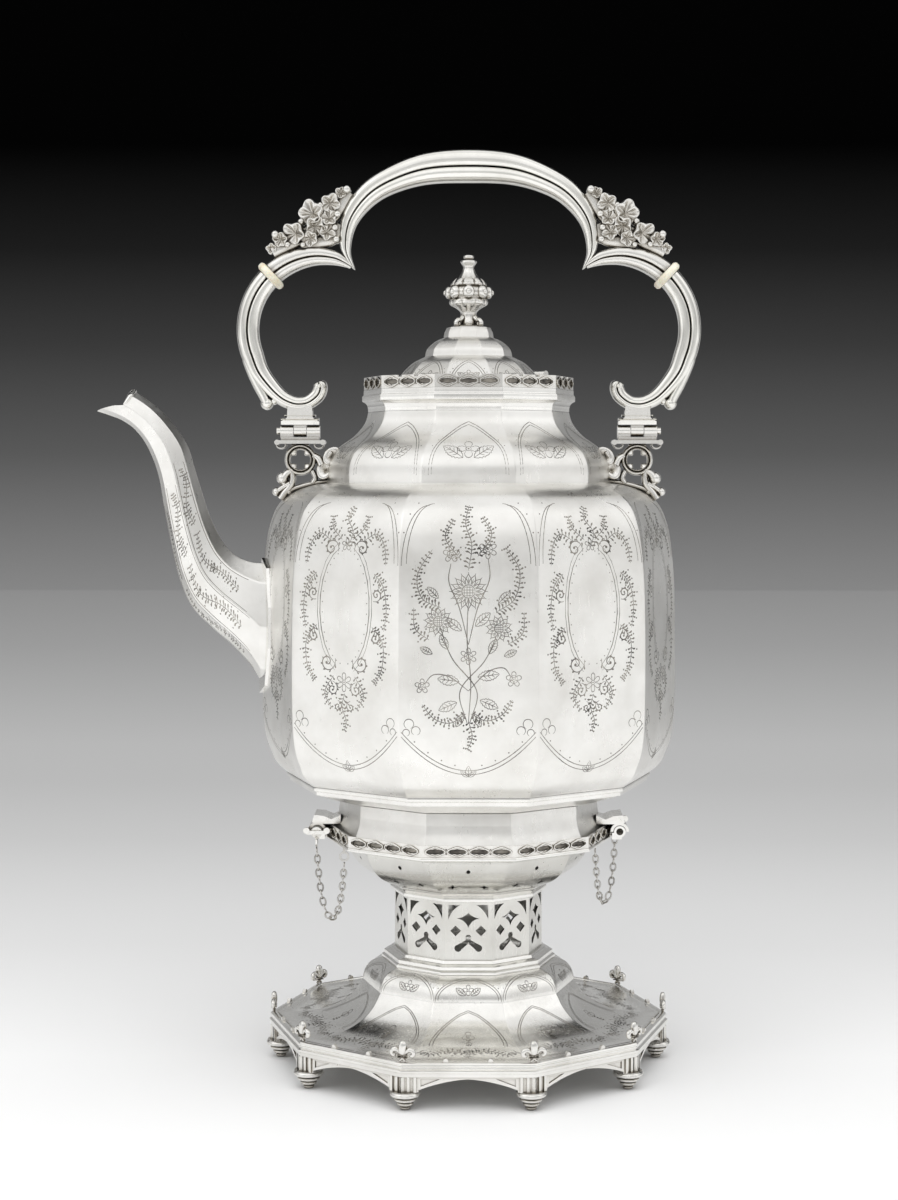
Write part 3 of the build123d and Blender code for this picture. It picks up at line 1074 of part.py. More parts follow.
def lid_hinge_pin():
    """Pin of the lid hinge."""
    pin = extrude(Plane.YZ.offset(-LID_HINGE_LENGTH / 2) * Circle(LID_HINGE_PIN_R), amount=LID_HINGE_LENGTH)
    return turned_to_hinge(Pos(0, -LID_HINGE_OUT, LID_HINGE_Z) * pin)


def lid_knuckle():
    """Moving leaf: a strap from the lid over the gallery to the centre knuckle."""
    out, z, third = LID_HINGE_OUT, LID_HINGE_Z, LID_HINGE_LENGTH / 6
    half = third - PLAY
    barrel = extrude(Plane.YZ.offset(-half) * (Pos(-out, z) * Circle(LID_HINGE_R)), amount=2 * half)
    strap = polygon([(-out, z - 0.9), (-out, z + 1.4), (-out + 6, z + 1.4), (-29.6, z - 0.8), (-29.6, z - 6.0),
                     (-36.0, z - 6.0), (-out + 6, z - 0.9)])
    arm = extrude(Plane.YZ.offset(-half) * strap, amount=2 * half)
    bore = extrude(Plane.YZ.offset(-20) * (Pos(-out, z) * Circle(LID_HINGE_PIN_R + RUNNING)), amount=40)
    piece = turned_to_hinge((barrel + arm) - bore)
    tier = lid_tier()
    inside = ten_sided([(0, tier[0][1] - 3), (tier[0][0], tier[0][1] - 3), tier, (0, LID_STEP_Z)])
    return piece - inside


# ---------------------------------------------------------------- the set
NODES = {
    "foot_dome": foot_dome,
    "tray_rim": tray_rim,
    "apron_arcade": apron_arcade,
    "feet": feet,
    "fleurs": fleurs,
    "rim_beads": rim_beads,
    "waist_moulding_lower": waist_moulding_lower,
    "pierced_waist": pierced_waist,
    "waist_moulding_upper": waist_moulding_upper,
    "stand_bowl": stand_bowl,
    "gallery_moulding": gallery_moulding,
    "stand_gallery": lambda: pierced_gallery(STAND_RIM_R - 0.3, STAND_LEDGE_Z, STAND_GALLERY_HEIGHT, 4),
    "stand_tube_left": lambda: stand_tubes(-1),
    "stand_tube_right": lambda: stand_tubes(1),
    "chain_rings": chain_rings,
    "lamp_seat": lamp_seat,
    "lamp_font": lamp_font,
    "lamp_cap": lamp_cap,
    "lamp_wick": lamp_wick,
    "kettle_shell": kettle_shell,
    "kettle_base_moulding": kettle_base_moulding,
    "kettle_bottom": kettle_bottom,
    "kettle_foot": kettle_foot,
    "neck_collar": neck_collar,
    "rim_gallery": rim_gallery,
    "rim_seat": rim_seat,
    "spout": spout,
    "spout_flange": spout_flange,
    "spout_lip": spout_lip,
    "lug_left": lambda: lug(-1),
    "lug_right": lambda: lug(1),
    "hinge_lower_left": lambda: hinge_lower(-1),
    "hinge_lower_right": lambda: hinge_lower(1),
    "hinge_pin_left": lambda: hinge_pin(-1),
    "hinge_pin_right": lambda: hinge_pin(1),
    "foot_arm_left": lambda: foot_arm(-1),
    "foot_arm_right": lambda: foot_arm(1),
    "lid_hinge_leaf": lid_hinge_leaf,
    "lid_hinge_pin": lid_hinge_pin,
    "lid_shell": lid_shell,
    "lid_bezel": lid_bezel,
    "finial": finial,
    "finial_nut": finial_nut,
    "lid_knuckle": lid_knuckle,
    "handle_bow": handle_bow,
    "handle_arm_left": lambda: handle_arm(-1),
    "handle_arm_right": lambda: handle_arm(1),
    "insulator_left": lambda: insulator(-1),
    "insulator_right": lambda: insulator(1),
    "insulator_pins": insulator_pins,
    "leaf_mount_left": lambda: leaf_mount(-1),
    "leaf_mount_right": lambda: leaf_mount(1),
    "hinge_upper_left": lambda: hinge_upper(-1),
    "hinge_upper_right": lambda: hinge_upper(1),
    "pin_left": lambda: pull_pin(-1),
    "pin_right": lambda: pull_pin(1),
    "chain_left": lambda: chain(-1),
    "chain_right": lambda: chain(1),
}

os.makedirs("parts", exist_ok=True)
for name, make in NODES.items():
    export_step(make(), f"parts/{name}.step")
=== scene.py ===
"""Dresses the spirit kettle on stand: raised silver forms, engraving, handle, chains and studio."""

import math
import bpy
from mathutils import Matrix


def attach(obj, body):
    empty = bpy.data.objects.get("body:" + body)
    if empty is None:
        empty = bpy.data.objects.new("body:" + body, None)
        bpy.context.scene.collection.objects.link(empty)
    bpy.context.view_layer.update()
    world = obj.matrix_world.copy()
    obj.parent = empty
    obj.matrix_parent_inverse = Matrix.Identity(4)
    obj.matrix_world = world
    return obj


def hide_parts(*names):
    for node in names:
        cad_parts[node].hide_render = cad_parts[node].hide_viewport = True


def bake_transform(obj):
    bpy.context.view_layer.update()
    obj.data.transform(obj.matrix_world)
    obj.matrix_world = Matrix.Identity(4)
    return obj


bl_info = {
    "name": "Spirit Kettle on Stand",
    "version": (1, 0, 0),
    "blender": (4, 5, 0),
    "location": "3D View > Sidebar > Kettle",
    "description": "Builds the polished, engraved look of a ten-sided spirit kettle on its stand",
    "category": "Object",
}

import bpy
import numpy as np

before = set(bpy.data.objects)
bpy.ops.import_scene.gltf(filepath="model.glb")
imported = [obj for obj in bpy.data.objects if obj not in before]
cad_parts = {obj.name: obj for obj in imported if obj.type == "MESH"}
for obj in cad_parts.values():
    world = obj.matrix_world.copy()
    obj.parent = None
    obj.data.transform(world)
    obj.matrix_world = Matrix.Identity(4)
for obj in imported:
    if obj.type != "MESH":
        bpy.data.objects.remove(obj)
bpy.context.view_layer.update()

MM = 0.001
SIDES = 10
HALF = math.pi / SIDES
FLAT = math.cos(HALF)
TAN = math.tan(HALF)
UP = np.array([0, 0, 1.0])
SUNK = -0.02  # lift of the edges of an engraved line, so that they meet the surface

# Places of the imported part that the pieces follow, in millimetres and degrees
SHEET = 1.2
RIM_RADIUS, RIM_FLOOR = 93.1, 21.95
FOOT_RADIUS = 89.87
SPOUT_ROOT = 97.0
LID_SEAT, LID_TOP = 318.65, 348.0
HINGE_X, ROUNDEL_Z = 79.4, 286.0
LOBE_X, LOBE_Z, LOBE_RADIUS = 69.5, 347.0, 34.4
STOP_ANGLE, STOP_HALF = 47, 3.2
TUBE_X, TUBE_Z, TUBE_END = 71.6, 110.4, 9.25
PIN_HEAD, PIN_DRAWN, PIN_RING_DROP = 3.2, 12.0, 6.6
RING_RADIUS, RING_Z, RING_DROP = 62.9, 101.1, 2.1
LINK_LONG, LINK_WIDE, LINK_STEP, LINK_HANG = 4.9, 3.4, 3.2, 1.15
CHAIN_DROP = 29.0


# ------------------------------------------------------------------ sizes and colours
def size_setting(name, description, default):
    return bpy.props.FloatProperty(name=name, description=description, default=default, unit="LENGTH")


def colour_setting(name, description, red, green, blue):
    return bpy.props.FloatVectorProperty(name=name, description=description, subtype="COLOR", size=4,
                                         default=(red, green, blue, 1))


class KettleSizes(bpy.types.PropertyGroup):
    arris_rounding: size_setting("Arris rounding", "Radius of the worn arrises of the raised body", 0.0016)
    moulding_rounding: size_setting("Moulding rounding", "Radius of the arrises of mouldings", 0.0006)
    line_width: size_setting("Engraved line", "Width of an engraved line", 0.00046)
    line_lift: size_setting("Line lift", "How far the burr of an engraved line stands proud", 0.00006)
    wave_height: size_setting("Hammer waves", "Height of the soft waves left by raising the sheet", 0.00018)
    link_wire: size_setting("Chain wire", "Thickness of the chain's wire", 0.00085)


class KettleColours(bpy.types.PropertyGroup):
    silver: colour_setting("Silver", "Colour of polished silver", 0.93, 0.92, 0.89)
    silver_shade: colour_setting("Silver haze", "Colour of silver where it is slightly dulled", 0.80, 0.785, 0.75)
    # Tarnish colour, also used for painted shade in the hollows of cast silver
    tarnish_and_shade: colour_setting("Tarnish", "Colour of silver where polish does not reach", 0.42, 0.39, 0.34)
    graved: colour_setting("Engraved lines", "Darkened metal inside engraved lines", 0.055, 0.05, 0.047)
    ivory: colour_setting("Heat stops", "Colour of the heat-stop rings", 0.86, 0.80, 0.66)
    wick: colour_setting("Wick", "Colour of the woven wick", 0.76, 0.70, 0.58)


def sizes():
    return bpy.context.scene.kettle_sizes


def colours():
    return bpy.context.scene.kettle_colours


# ------------------------------------------------------------------ meshes from grids
def new_object(name, data):
    thing = bpy.data.objects.new(name, data)
    bpy.context.scene.collection.objects.link(thing)
    return thing


def new_mesh(name, vertices, faces):
    mesh = bpy.data.meshes.new(name)
    mesh.from_pydata(np.asarray(vertices, float).tolist(), [], [tuple(f) for f in faces])
    return mesh


def add_mesh(name, vertices, faces, material, body, sharp=32.0, replaces=()):
    """Puts arrays into one object at the origin, smooth except over sharp edges."""
    mesh = new_mesh(name, vertices, faces)
    mesh.validate()
    mesh.shade_smooth()
    mesh.set_sharp_from_angle(angle=math.radians(sharp))
    mesh.materials.append(material)
    thing = new_object(name, mesh)
    if body:
        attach(thing, body)
    if replaces:
        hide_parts(*replaces)
    return thing


def grid_faces(rows, columns, wrap_rows, wrap_columns, start=0):
    """Quads of a grid: each joins a point to the next in its row and to the row after."""
    i = np.arange(rows if wrap_rows else rows - 1)[:, None]
    j = np.arange(columns if wrap_columns else columns - 1)[None, :]
    i2, j2 = (i + 1) % rows, (j + 1) % columns
    quads = np.stack([i * columns + j, i * columns + j2, i2 * columns + j2, i2 * columns + j], axis=-1)
    return quads.reshape(-1, 4) + start


def join_grids(grids):
    """Vertices and faces of several grids, each (points, wrap_rows, wrap_columns, flipped)."""
    vertices, faces, start = [], [], 0
    for points, wrap_rows, wrap_columns, flipped in grids:
        rows, columns = points.shape[:2]
        quads = grid_faces(rows, columns, wrap_rows, wrap_columns, start)
        faces += (quads[:, ::-1] if flipped else quads).tolist()
        vertices.append(points.reshape(-1, 3))
        start += rows * columns
    return np.concatenate(vertices), faces


def form(name, grids, material, body, sharp=60, replaces=()):
    """One silver piece joined from grids."""
    thing = add_mesh(name, *join_grids(grids), material, body, sharp, replaces)
    return thing


def pair(x, y):
    """Points of a plane from their two coordinates."""
    return np.stack([x, y], axis=1)


def round_points(x, y, radius, angles):
    """Points at angles in radians round a centre."""
    return pair(x + radius * np.cos(angles), y + radius * np.sin(angles))


def turns(count):
    """Angles spread evenly round a circle."""
    return np.linspace(0, 2 * math.pi, count, endpoint=False)


def compass(a):
    """Level directions away from the upright axis at an angle, and square to that."""
    return np.array([math.cos(a), math.sin(a), 0]), np.array([-math.sin(a), math.cos(a), 0])


def smooth_run(points, samples):
    """Catmull-Rom curve through the points: each span is the cubic fixed by its ends and their neighbours."""
    p = np.asarray(points, float)
    if len(p) == 2:
        t = np.linspace(0, 1, max(samples, 2))[:, None]
        return p[0] * (1 - t) + p[1] * t
    ends = np.concatenate([[2 * p[0] - p[1]], p, [2 * p[-1] - p[-2]]])
    spans = len(p) - 1
    u = np.linspace(0, spans, samples)
    k = np.minimum(u.astype(int), spans - 1)
    t = (u - k)[:, None]
    a, b, c, d = ends[k], ends[k + 1], ends[k + 2], ends[k + 3]
    return 0.5 * (2 * b + (c - a) * t + (2 * a - 5 * b + 4 * c - d) * t ** 2 + (3 * b - a - 3 * c + d) * t ** 3)


def smooth_values(values, samples):
    """Catmull-Rom curve through single values."""
    return smooth_run(pair(values, values), samples)[:, 0]


def outline(runs):
    """One line through all the runs: a run of two points is straight, a longer one is smooth."""
    parts = [smooth_run(run, 2 if len(run) == 2 else 6 * len(run)) for run in runs]
    kept = [parts[0]] + [part[1:] if np.allclose(part[0], before[-1]) else part
                         for before, part in zip(parts, parts[1:])]
    return np.concatenate(kept)


def offset_line(line, wall):
    """The line moved to its left by the wall, along the mean of the normals at each point."""
    step = unit(np.diff(line, axis=0))
    before = np.concatenate([step[:1], step])
    after = np.concatenate([step, step[-1:]])
    normal = unit(pair(-(before + after)[:, 1], (before + after)[:, 0]))
    square = pair(-before[:, 1], before[:, 0])
    return line + normal * (wall / np.maximum((normal * square).sum(1), 0.3))[:, None]


def unit(vectors):
    """Rows of length one."""
    return vectors / np.linalg.norm(vectors, axis=1)[:, None]


def ten_sided_grid(r, z, rounding):
    """Rings round the axis: flats at r cos 18, with arcs of the rounding radius for arrises between them."""
    apothem = np.maximum(np.asarray(r, float) * FLAT, 1e-6)
    q = np.minimum(rounding, apothem * 0.3)
    columns = []
    for k in range(SIDES):
        middle = -math.pi / 2 + 2 * HALF * k
        normal, along = (way[:2] for way in compass(middle))
        columns += [apothem[:, None] * normal + (s * (apothem - q) * TAN)[:, None] * along
                    for s in (-1, -0.95, -0.55, 0, 0.55, 0.95, 1)]
        centre = (apothem - q) / FLAT
        arris = middle + HALF
        for b in np.linspace(-HALF, HALF, 5)[1:-1]:
            columns.append(centre[:, None] * compass(arris)[0][:2] + q[:, None] * compass(arris + b)[0][:2])
    xy = np.stack(columns, axis=1)
    return np.concatenate([xy, np.broadcast_to(np.asarray(z, float)[:, None, None], xy.shape[:2] + (1,))], axis=2)


def soften(line, size):
    """The line with each corner sharper than 20 degrees turned into a small curve, as polish leaves it."""
    line = np.asarray(line, float)
    step = np.roll(line, -1, axis=0) - line
    length = np.maximum(np.linalg.norm(step, axis=1), 1e-9)
    way = step / length[:, None]
    before = np.roll(way, 1, axis=0)
    corner = (way * before).sum(1) < math.cos(math.radians(20))
    near = np.minimum(size, 0.35 * np.minimum(length, np.roll(length, 1)))[:, None]
    first = line - before * near
    last = line + way * near
    three = np.stack([first, 0.25 * first + 0.5 * line + 0.25 * last, last], axis=1)
    return np.concatenate([t if c else p[None] for t, c, p in zip(three, corner, line)])


def turned_grid(line, columns, swell=None):
    """Points of a turned form: radius times (1 + swell(height, angle)) round the axis."""
    a = turns(columns)[None, :]
    r, z = line[:, :1] * MM, line[:, 1:] * MM
    k = 1 + (swell(line[:, 1:], a) if swell else 0)
    return np.stack([r * k * np.cos(a), r * k * np.sin(a), z + 0 * a], axis=2)


def tube_rings(centre, across, out, size_a, size_b, shape):
    """Rings of a swept bar: centre + a x size_a x across + b x size_b x out for each (a, b) of the section."""
    a, b = shape[:, 0][None, :, None], shape[:, 1][None, :, None]
    return (centre[:, None] + a * (size_a[:, None] * across)[:, None] + b * (size_b[:, None] * out)[:, None]) * MM


def capped(rings):
    """The rings with both ends drawn in to a point, so that the bar is closed."""
    first, last = rings[0].mean(0), rings[-1].mean(0)
    inner = [first + (rings[0] - first) * 0.5, last + (rings[-1] - last) * 0.5]
    ends = [np.broadcast_to(point, rings[0].shape) for point in (first, last)]
    return np.concatenate([ends[0][None], inner[0][None], rings, inner[1][None], ends[1][None]])


def tube(rings):
    """Closed bar as a grid."""
    return capped(rings), False, True, False


def plain_section(columns=14):
    """Oval section: (cos u, sin u)."""
    return round_points(0, 0, 1, turns(columns))


def rib_section():
    """Section of the handle's bar, outer edge at +1: two rounded ribs with a narrow groove on each side."""
    half = [(1.0, 0.0), (0.97, 0.40), (0.84, 0.72), (0.60, 0.88), (0.34, 0.92), (0.12, 0.86), (0.02, 0.74),
            (-0.03, 0.54), (-0.08, 0.76), (-0.20, 0.94), (-0.44, 1.0), (-0.70, 0.86), (-0.91, 0.50), (-1.0, 0.0)]
    p = np.array(half + [(a, -b) for a, b in reversed(half[1:-1])])
    wrapped = np.concatenate([p[-3:], p, p[:4]])
    smooth = smooth_run(wrapped, 1 + (len(wrapped) - 1) * 6)
    return smooth[18:18 + len(p) * 6][::2]


def bar(centre, thick, deep, shape=None):
    """Rings of a bar along a line in the XZ plane, ribbed unless a section is given; sizes are full."""
    c = np.asarray(centre, float)
    way = unit(np.gradient(c, axis=0))
    flat = 0 * way[:, 0]
    out = np.stack([way[:, 1], flat, -way[:, 0]], axis=1)
    middle = np.stack([c[:, 0], flat, c[:, 1]], axis=1)
    thick, deep = (np.broadcast_to(np.asarray(size, float), len(c)) for size in (thick, deep))
    depth = np.broadcast_to([0.0, 1.0, 0.0], out.shape)
    return tube_rings(middle, out, depth, thick / 2, deep / 2, rib_section() if shape is None else shape)


def rod(centre, thick, deep, columns=14):
    """Closed bar of oval section."""
    return tube(bar(centre, thick, deep, plain_section(columns)))


def hoop(centre, thick, deep, columns):
    """Bar of oval section along a line that meets its own start."""
    return bar(centre, thick, deep, plain_section(columns))[:-1], True, True, False


def ball(x, y, z, r, squash=1.0):
    """Small ball at a place in millimetres, drawn out sideways by squash."""
    up = np.linspace(0, math.pi, 9)[:, None]
    around = turns(16)[None]
    sphere = np.stack([np.sin(up) * np.cos(around), squash * np.sin(up) * np.sin(around), np.cos(up) + 0 * around],
                      axis=2)
    return (sphere * r + np.array([x, y, z])) * MM, False, True, True


def placed(grid, origin, right, up):
    """A cushion's (x, y, height) laid on the plane of two directions at an origin, in millimetres."""
    right, up = np.asarray(right, float), np.asarray(up, float)
    out = np.cross(right, up)
    points = np.asarray(origin, float) + grid[..., :1] * right + grid[..., 1:2] * up + grid[..., 2:3] * out
    return points * MM, False, True, False


def cushion(outline_points, thick, origin, right, up=UP):
    """Cushion over an outline: point = c + (p - c) cos u, height = thick (sin u)^0.7, u from edge to middle."""
    p = np.asarray(outline_points, float)
    c = p.mean(0)
    u = np.linspace(-math.pi / 2, math.pi / 2, 11)
    flat = c + (p[None] - c) * np.cos(u)[:, None, None]
    h = thick * np.sign(np.sin(u)) * np.abs(np.sin(u)) ** 0.7
    grid = np.concatenate([flat, np.broadcast_to(h[:, None, None], flat.shape[:2] + (1,))], axis=2)
    return placed(grid, origin, right, up)


def carried(grid, away, origin=(0.0, 0.0, 0.0)):
    """A grid drawn in the XZ plane, turned so that X runs along away, from an origin in millimetres."""
    points, *flags = grid
    side = np.cross(UP, away)
    turned = points[..., :1] * away + points[..., 1:2] * side + points[..., 2:] * UP + np.asarray(origin) * MM
    return turned, *flags


def mirrored(grids, side):
    """The grids on the other side of the kettle when side is negative, turned to face outward again."""
    if side > 0:
        return grids
    return [(points * np.array([-1.0, 1.0, 1.0]), a, b, not turned) for points, a, b, turned in grids]


def paired(stem, side, grids, material, body, node, sharp=60):
    """One of a left and right pair of pieces, from grids drawn for the right side."""
    name = "right" if side > 0 else "left"
    return form(f"{stem}_{name}_form", mirrored(grids, side), material, body, sharp, (f"{node}_{name}",))


# ------------------------------------------------------------------ profiles of the raised forms, in millimetres
def between(start, end, shares):
    """Points from start to end, each given by its share of the way in radius and in height."""
    inside = [(start[0] + f * (end[0] - start[0]), start[1] + g * (end[1] - start[1])) for f, g in shares]
    return [start] + inside + [end]


BODY_LOW = between((86.3, 137.6), (98.0, 190.0), [(0.26, 0.05), (0.49, 0.11), (0.64, 0.19), (0.81, 0.29),
                                                  (0.93, 0.43), (0.99, 0.66)])
BODY_HIGH = between((98.0, 190.0), (68.4, 274.8), [(0.004, 0.21), (0.018, 0.42), (0.048, 0.58), (0.088, 0.69),
                                                   (0.143, 0.78), (0.245, 0.868), (0.40, 0.93), (0.61, 0.969),
                                                   (0.84, 0.993)])
BODY = BODY_LOW + BODY_HIGH[1:]
SHOULDER = between((67.2, 275.3), (47.4, 308.2), [(0, 0.17), (0.04, 0.286), (0.162, 0.42), (0.364, 0.532),
                                                  (0.636, 0.647), (0.833, 0.769), (0.944, 0.878)])
DOME_LOW = between((90.2, 21.8), (50.6, 38.0), [(0.142, -0.01), (0.304, 0.03), (0.488, 0.086), (0.659, 0.21),
                                                (0.804, 0.407), (0.912, 0.654)])
DOME_HIGH = between((50.6, 38.0), (41.5, 48.6), [(0.030, 0.20), (0.110, 0.42), (0.26, 0.64), (0.52, 0.84)])
LID_LOW = between((39.6, 320.45), (22.0, 333.6), [(0.182, 0.133), (0.375, 0.316), (0.568, 0.605), (0.761, 0.833)])
LID_HIGH = between((20.6, 334.2), (11.8, 343.1), [(0.114, 0.404), (0.432, 0.719), (0.727, 0.899)])


# ------------------------------------------------------------------ finishes
class Wiring:
    """Nodes of a material, a group or a world, and the end node that they feed."""

    def __init__(self, tree, end):
        self.nodes, self.links, self.end, self.place = tree.nodes, tree.links, end, None

    def feed(self, values, node=None):
        """Gives inputs of a node, or of the end node, a plain value or the output of another node."""
        for socket, value in values.items():
            entry = (node or self.end).inputs[socket]
            if isinstance(value, bpy.types.NodeSocket):
                self.links.new(value, entry)
            else:
                entry.default_value = value

    def add(self, kind, values, **settings):
        """A node of a kind with its own settings and inputs."""
        node = self.nodes.new(kind)
        for name, value in settings.items():
            setattr(node, name, value)
        self.feed(values, node)
        return node

    def where(self):
        """The object's own coordinates."""
        self.place = self.place or self.nodes.new("ShaderNodeTexCoord")
        return self.place.outputs["Object"]

    def noise(self, scale, detail, roughness, stretch=None):
        """Noise on the object's own coordinates, drawn out along an axis where a stretch is given."""
        source = self.where()
        if stretch:
            source = self.add("ShaderNodeMapping", {"Vector": source, "Scale": stretch}).outputs["Vector"]
        return self.add("ShaderNodeTexNoise", {"Vector": source, "Scale": scale, "Detail": detail,
                                               "Roughness": roughness}).outputs["Fac"]

    def ramp(self, source, *stops):
        """Colour ramp over a value, from (place, colour) stops, where a single number is a grey."""
        node = self.add("ShaderNodeValToRGB", {"Fac": source})
        elements = node.color_ramp.elements
        while len(elements) < len(stops):
            elements.new(0.5)
        for element, (place, colour) in zip(elements, stops):
            element.position = place
            element.color = (colour, colour, colour, 1) if isinstance(colour, float) else colour
        return node.outputs["Color"]

    def openness(self, reach):
        """How open a spot is within reach: 0 where it is enclosed, 1 where it is free."""
        return self.add("ShaderNodeAmbientOcclusion", {"Distance": reach}, samples=6).outputs["AO"]

    def bump(self, height, strength, distance, **below):
        """Relief from a height, laid over the Normal of another relief where one is given."""
        return self.add("ShaderNodeBump", {"Height": height, "Strength": strength, "Distance": distance,
                                           **below}).outputs["Normal"]


def polish():
    """Node group of polish: cloudy colour, hazy wiping marks and the soft waves of hand raising."""
    tree = bpy.data.node_groups.get("Polish")
    if tree:
        return tree
    tree = bpy.data.node_groups.new("Polish", "ShaderNodeTree")
    for output, kind in (("Colour", "Color"), ("Wiping", "Float"), ("Normal", "Vector")):
        tree.interface.new_socket(output, in_out="OUTPUT", socket_type=f"NodeSocket{kind}")
    w = Wiring(tree, tree.nodes.new("NodeGroupOutput"))
    haze, wipe = w.noise(90.0, 5.0, 0.65), w.noise(900.0, 2.0, 0.7, (1, 1, 0.06))
    waves = w.bump(w.noise(46.0, 1.0, 0.4), 0.22, sizes().wave_height)
    w.feed({"Colour": w.ramp(w.noise(38.0, 4.0, 0.6), (0.30, colours().silver_shade), (0.62, colours().silver)),
            "Wiping": w.add("ShaderNodeMath", {0: haze, 1: wipe}, operation="MULTIPLY").outputs[0],
            "Normal": w.bump(w.noise(420.0, 2.0, 0.5), 0.10, 0.00002, Normal=waves)})
    return tree


def finish(name, build):
    """A material with one principled shader, dressed by the given function."""
    material = bpy.data.materials.get(name)
    if not material:
        material = bpy.data.materials.new(name)
        material.use_nodes = True
        build(Wiring(material.node_tree, material.node_tree.nodes["Principled BSDF"]))
    return material


def wiped_silver(name, brightest, dullest, reach=0.0, tone=1.0, open_at=0.62):
    """Silver whose roughness runs between two values with the wiping marks; where a reach is given its colour carries
    painted shade, dark where enclosed within reach and taken down to tone elsewhere.
    """
    def build(w):
        marks = w.add("ShaderNodeGroup", {}, node_tree=polish()).outputs
        base = marks["Colour"]
        # Painted shade: ambient occlusion darkens the colour in enclosed places, and tone dims it where open
        if reach:
            free = (tone, tone, 0.985 * tone, 1)
            dark = w.ramp(w.openness(reach), (0.30, (0.05, 0.047, 0.043, 1)), (open_at, free))
            mix = w.add("ShaderNodeMix", {0: 1.0, 6: base, 7: dark}, data_type="RGBA", blend_type="MULTIPLY")
            base = mix.outputs[2]
        span = {"Value": marks["Wiping"], "From Min": 0.10, "From Max": 0.42, "To Min": brightest, "To Max": dullest}
        w.feed({"Base Color": base, "Roughness": w.add("ShaderNodeMapRange", span).outputs["Result"],
                "Normal": marks["Normal"], "Metallic": 1.0})
    return finish(name, build)


def silver():
    """Bright silver of mouldings and small parts."""
    return wiped_silver("Polished silver", 0.12, 0.25)


def handle_silver():
    """Silver of the handle, darker in the groove between its ribs: patina there and painted shade."""
    return wiped_silver("Handle silver", 0.12, 0.24, 0.0022)


def tray_silver():
    """Silver of the broad foot, bright enough to mirror the crests that stand on it."""
    return wiped_silver("Tray silver", 0.15, 0.30)


def waist_silver():
    """Silver of the pierced neck, dull, with painted shade darkening its colour on the inside."""
    return wiped_silver("Waist silver", 0.24, 0.38, 0.045, 0.84, 0.46)


def bowl_silver():
    """Silver of the lamp's bowl, its colour taken down and darkened with painted shade."""
    return wiped_silver("Bowl silver", 0.15, 0.30, 0.030, 0.80, 0.50)


def raised_silver():
    """Softer silver of the raised and engraved walls."""
    return wiped_silver("Raised silver", 0.25, 0.40)


def cast_silver(name="Cast silver", reach=0.004, dark_at=0.22, dull_at=0.55, brightness_share=1.0):
    """Cast silver, darker in the hollows: patina where polish does not reach, and painted shade."""
    def build(w):
        tones = colours()
        bright = [brightness_share * (0.4 * a + 0.6 * b) for a, b in zip(tones.silver[:3], tones.silver_shade[:3])] + [1]
        deep = [0.45 * v for v in tones.tarnish_and_shade[:3]] + [1]
        grain = w.noise(260.0, 4.0, 0.6)
        # Painted shade and patina: the colour darkens with occlusion in the hollows
        w.feed({"Base Color": w.ramp(w.openness(reach), (dark_at, deep), (dull_at, tones.tarnish_and_shade), (0.94, bright)),
                "Roughness": w.ramp(grain, (0.3, 0.14), (0.7, 0.30)), "Normal": w.bump(grain, 0.18, 0.00008),
                "Metallic": 1.0})
    return finish(name, build)


def ornament_silver(name="Ornament silver", brightness_share=1.0):
    """Cast silver of small ornament that is hard to wipe, with darker hollows of patina and painted shade."""
    return cast_silver(name, 0.003, 0.30, 0.66, brightness_share)


def chain_silver():
    """Silver of the chains and their rings, two thirds as bright as the other ornament."""
    return ornament_silver("Chain silver", 0.66)


def graved():
    """Darkened metal of an engraved line."""
    def build(w):
        patchy = w.noise(120.0, 3.0, 0.6)
        w.feed({"Base Color": w.ramp(patchy, (0.3, colours().graved), (0.75, colours().tarnish_and_shade)),
                "Roughness": w.ramp(patchy, (0.3, 0.5), (0.7, 0.34)), "Metallic": 0.85})
    return finish("Engraved line", build)


def shaded(tone, *shares):
    """A colour with each of red, green and blue taken down to its share."""
    return [value * share for value, share in zip(tone, shares)] + [1]


def ivory():
    """Smooth heat stop with faint rings of growth."""
    def build(w):
        pale, rings = colours().ivory, w.noise(300.0, 3.0, 0.5, (0.2, 1, 0.2))
        w.feed({"Base Color": w.ramp(rings, (0.3, shaded(pale, 0.82, 0.76, 0.66)), (0.6, pale)),
                "Roughness": w.ramp(rings, (0.2, 0.28), (0.8, 0.4)), "Coat Weight": 0.3, "Subsurface Weight": 0.08})
    return finish("Heat stop", build)


def wick_cloth():
    """Woven cotton of the wick."""
    def build(w):
        weave = w.add("ShaderNodeTexWave", {"Vector": w.where(), "Scale": 900.0, "Distortion": 3.0}).outputs["Fac"]
        pale = colours().wick
        w.feed({"Base Color": w.ramp(weave, (0.1, shaded(pale, 0.55, 0.5, 0.42)), (0.6, pale)),
                "Normal": w.bump(weave, 0.6, 0.0002), "Roughness": 0.9})
    return finish("Wick cotton", build)


def ground():
    """Matt studio paper with painted shade: pale on the floor, its colour falling away to black high on the wall,
    where the light falls off.
    """
    def build(w):
        back = w.add("ShaderNodeVectorMath", {0: w.where(), 1: (0.0, 1 / 3, 2 / 3)}, operation="DOT_PRODUCT")
        # Painted shade: the paper's colour darkens up the wall as the light falls off
        painted_falloff = w.ramp(back.outputs["Value"], (0.0, 0.85), (0.08, 0.68), (0.20, 0.54), (0.36, 0.44), (0.48, 0.29),
                      (0.69, 0.095), (0.80, 0.04), (0.89, 0.012), (0.98, 0.001))
        w.feed({"Base Color": painted_falloff, "Roughness": 0.75, "Specular IOR Level": 0.0})
    return finish("Studio paper", build)


# ------------------------------------------------------------------ engraving
def distance_along(points):
    """Distance from the first point to each point of a line."""
    return np.concatenate([[0], np.cumsum(np.linalg.norm(np.diff(points, axis=0), axis=1))])


def looked_up(t, known, values):
    """Rows of values at each t."""
    return np.stack([np.interp(t, known, column) for column in values.T], axis=1)


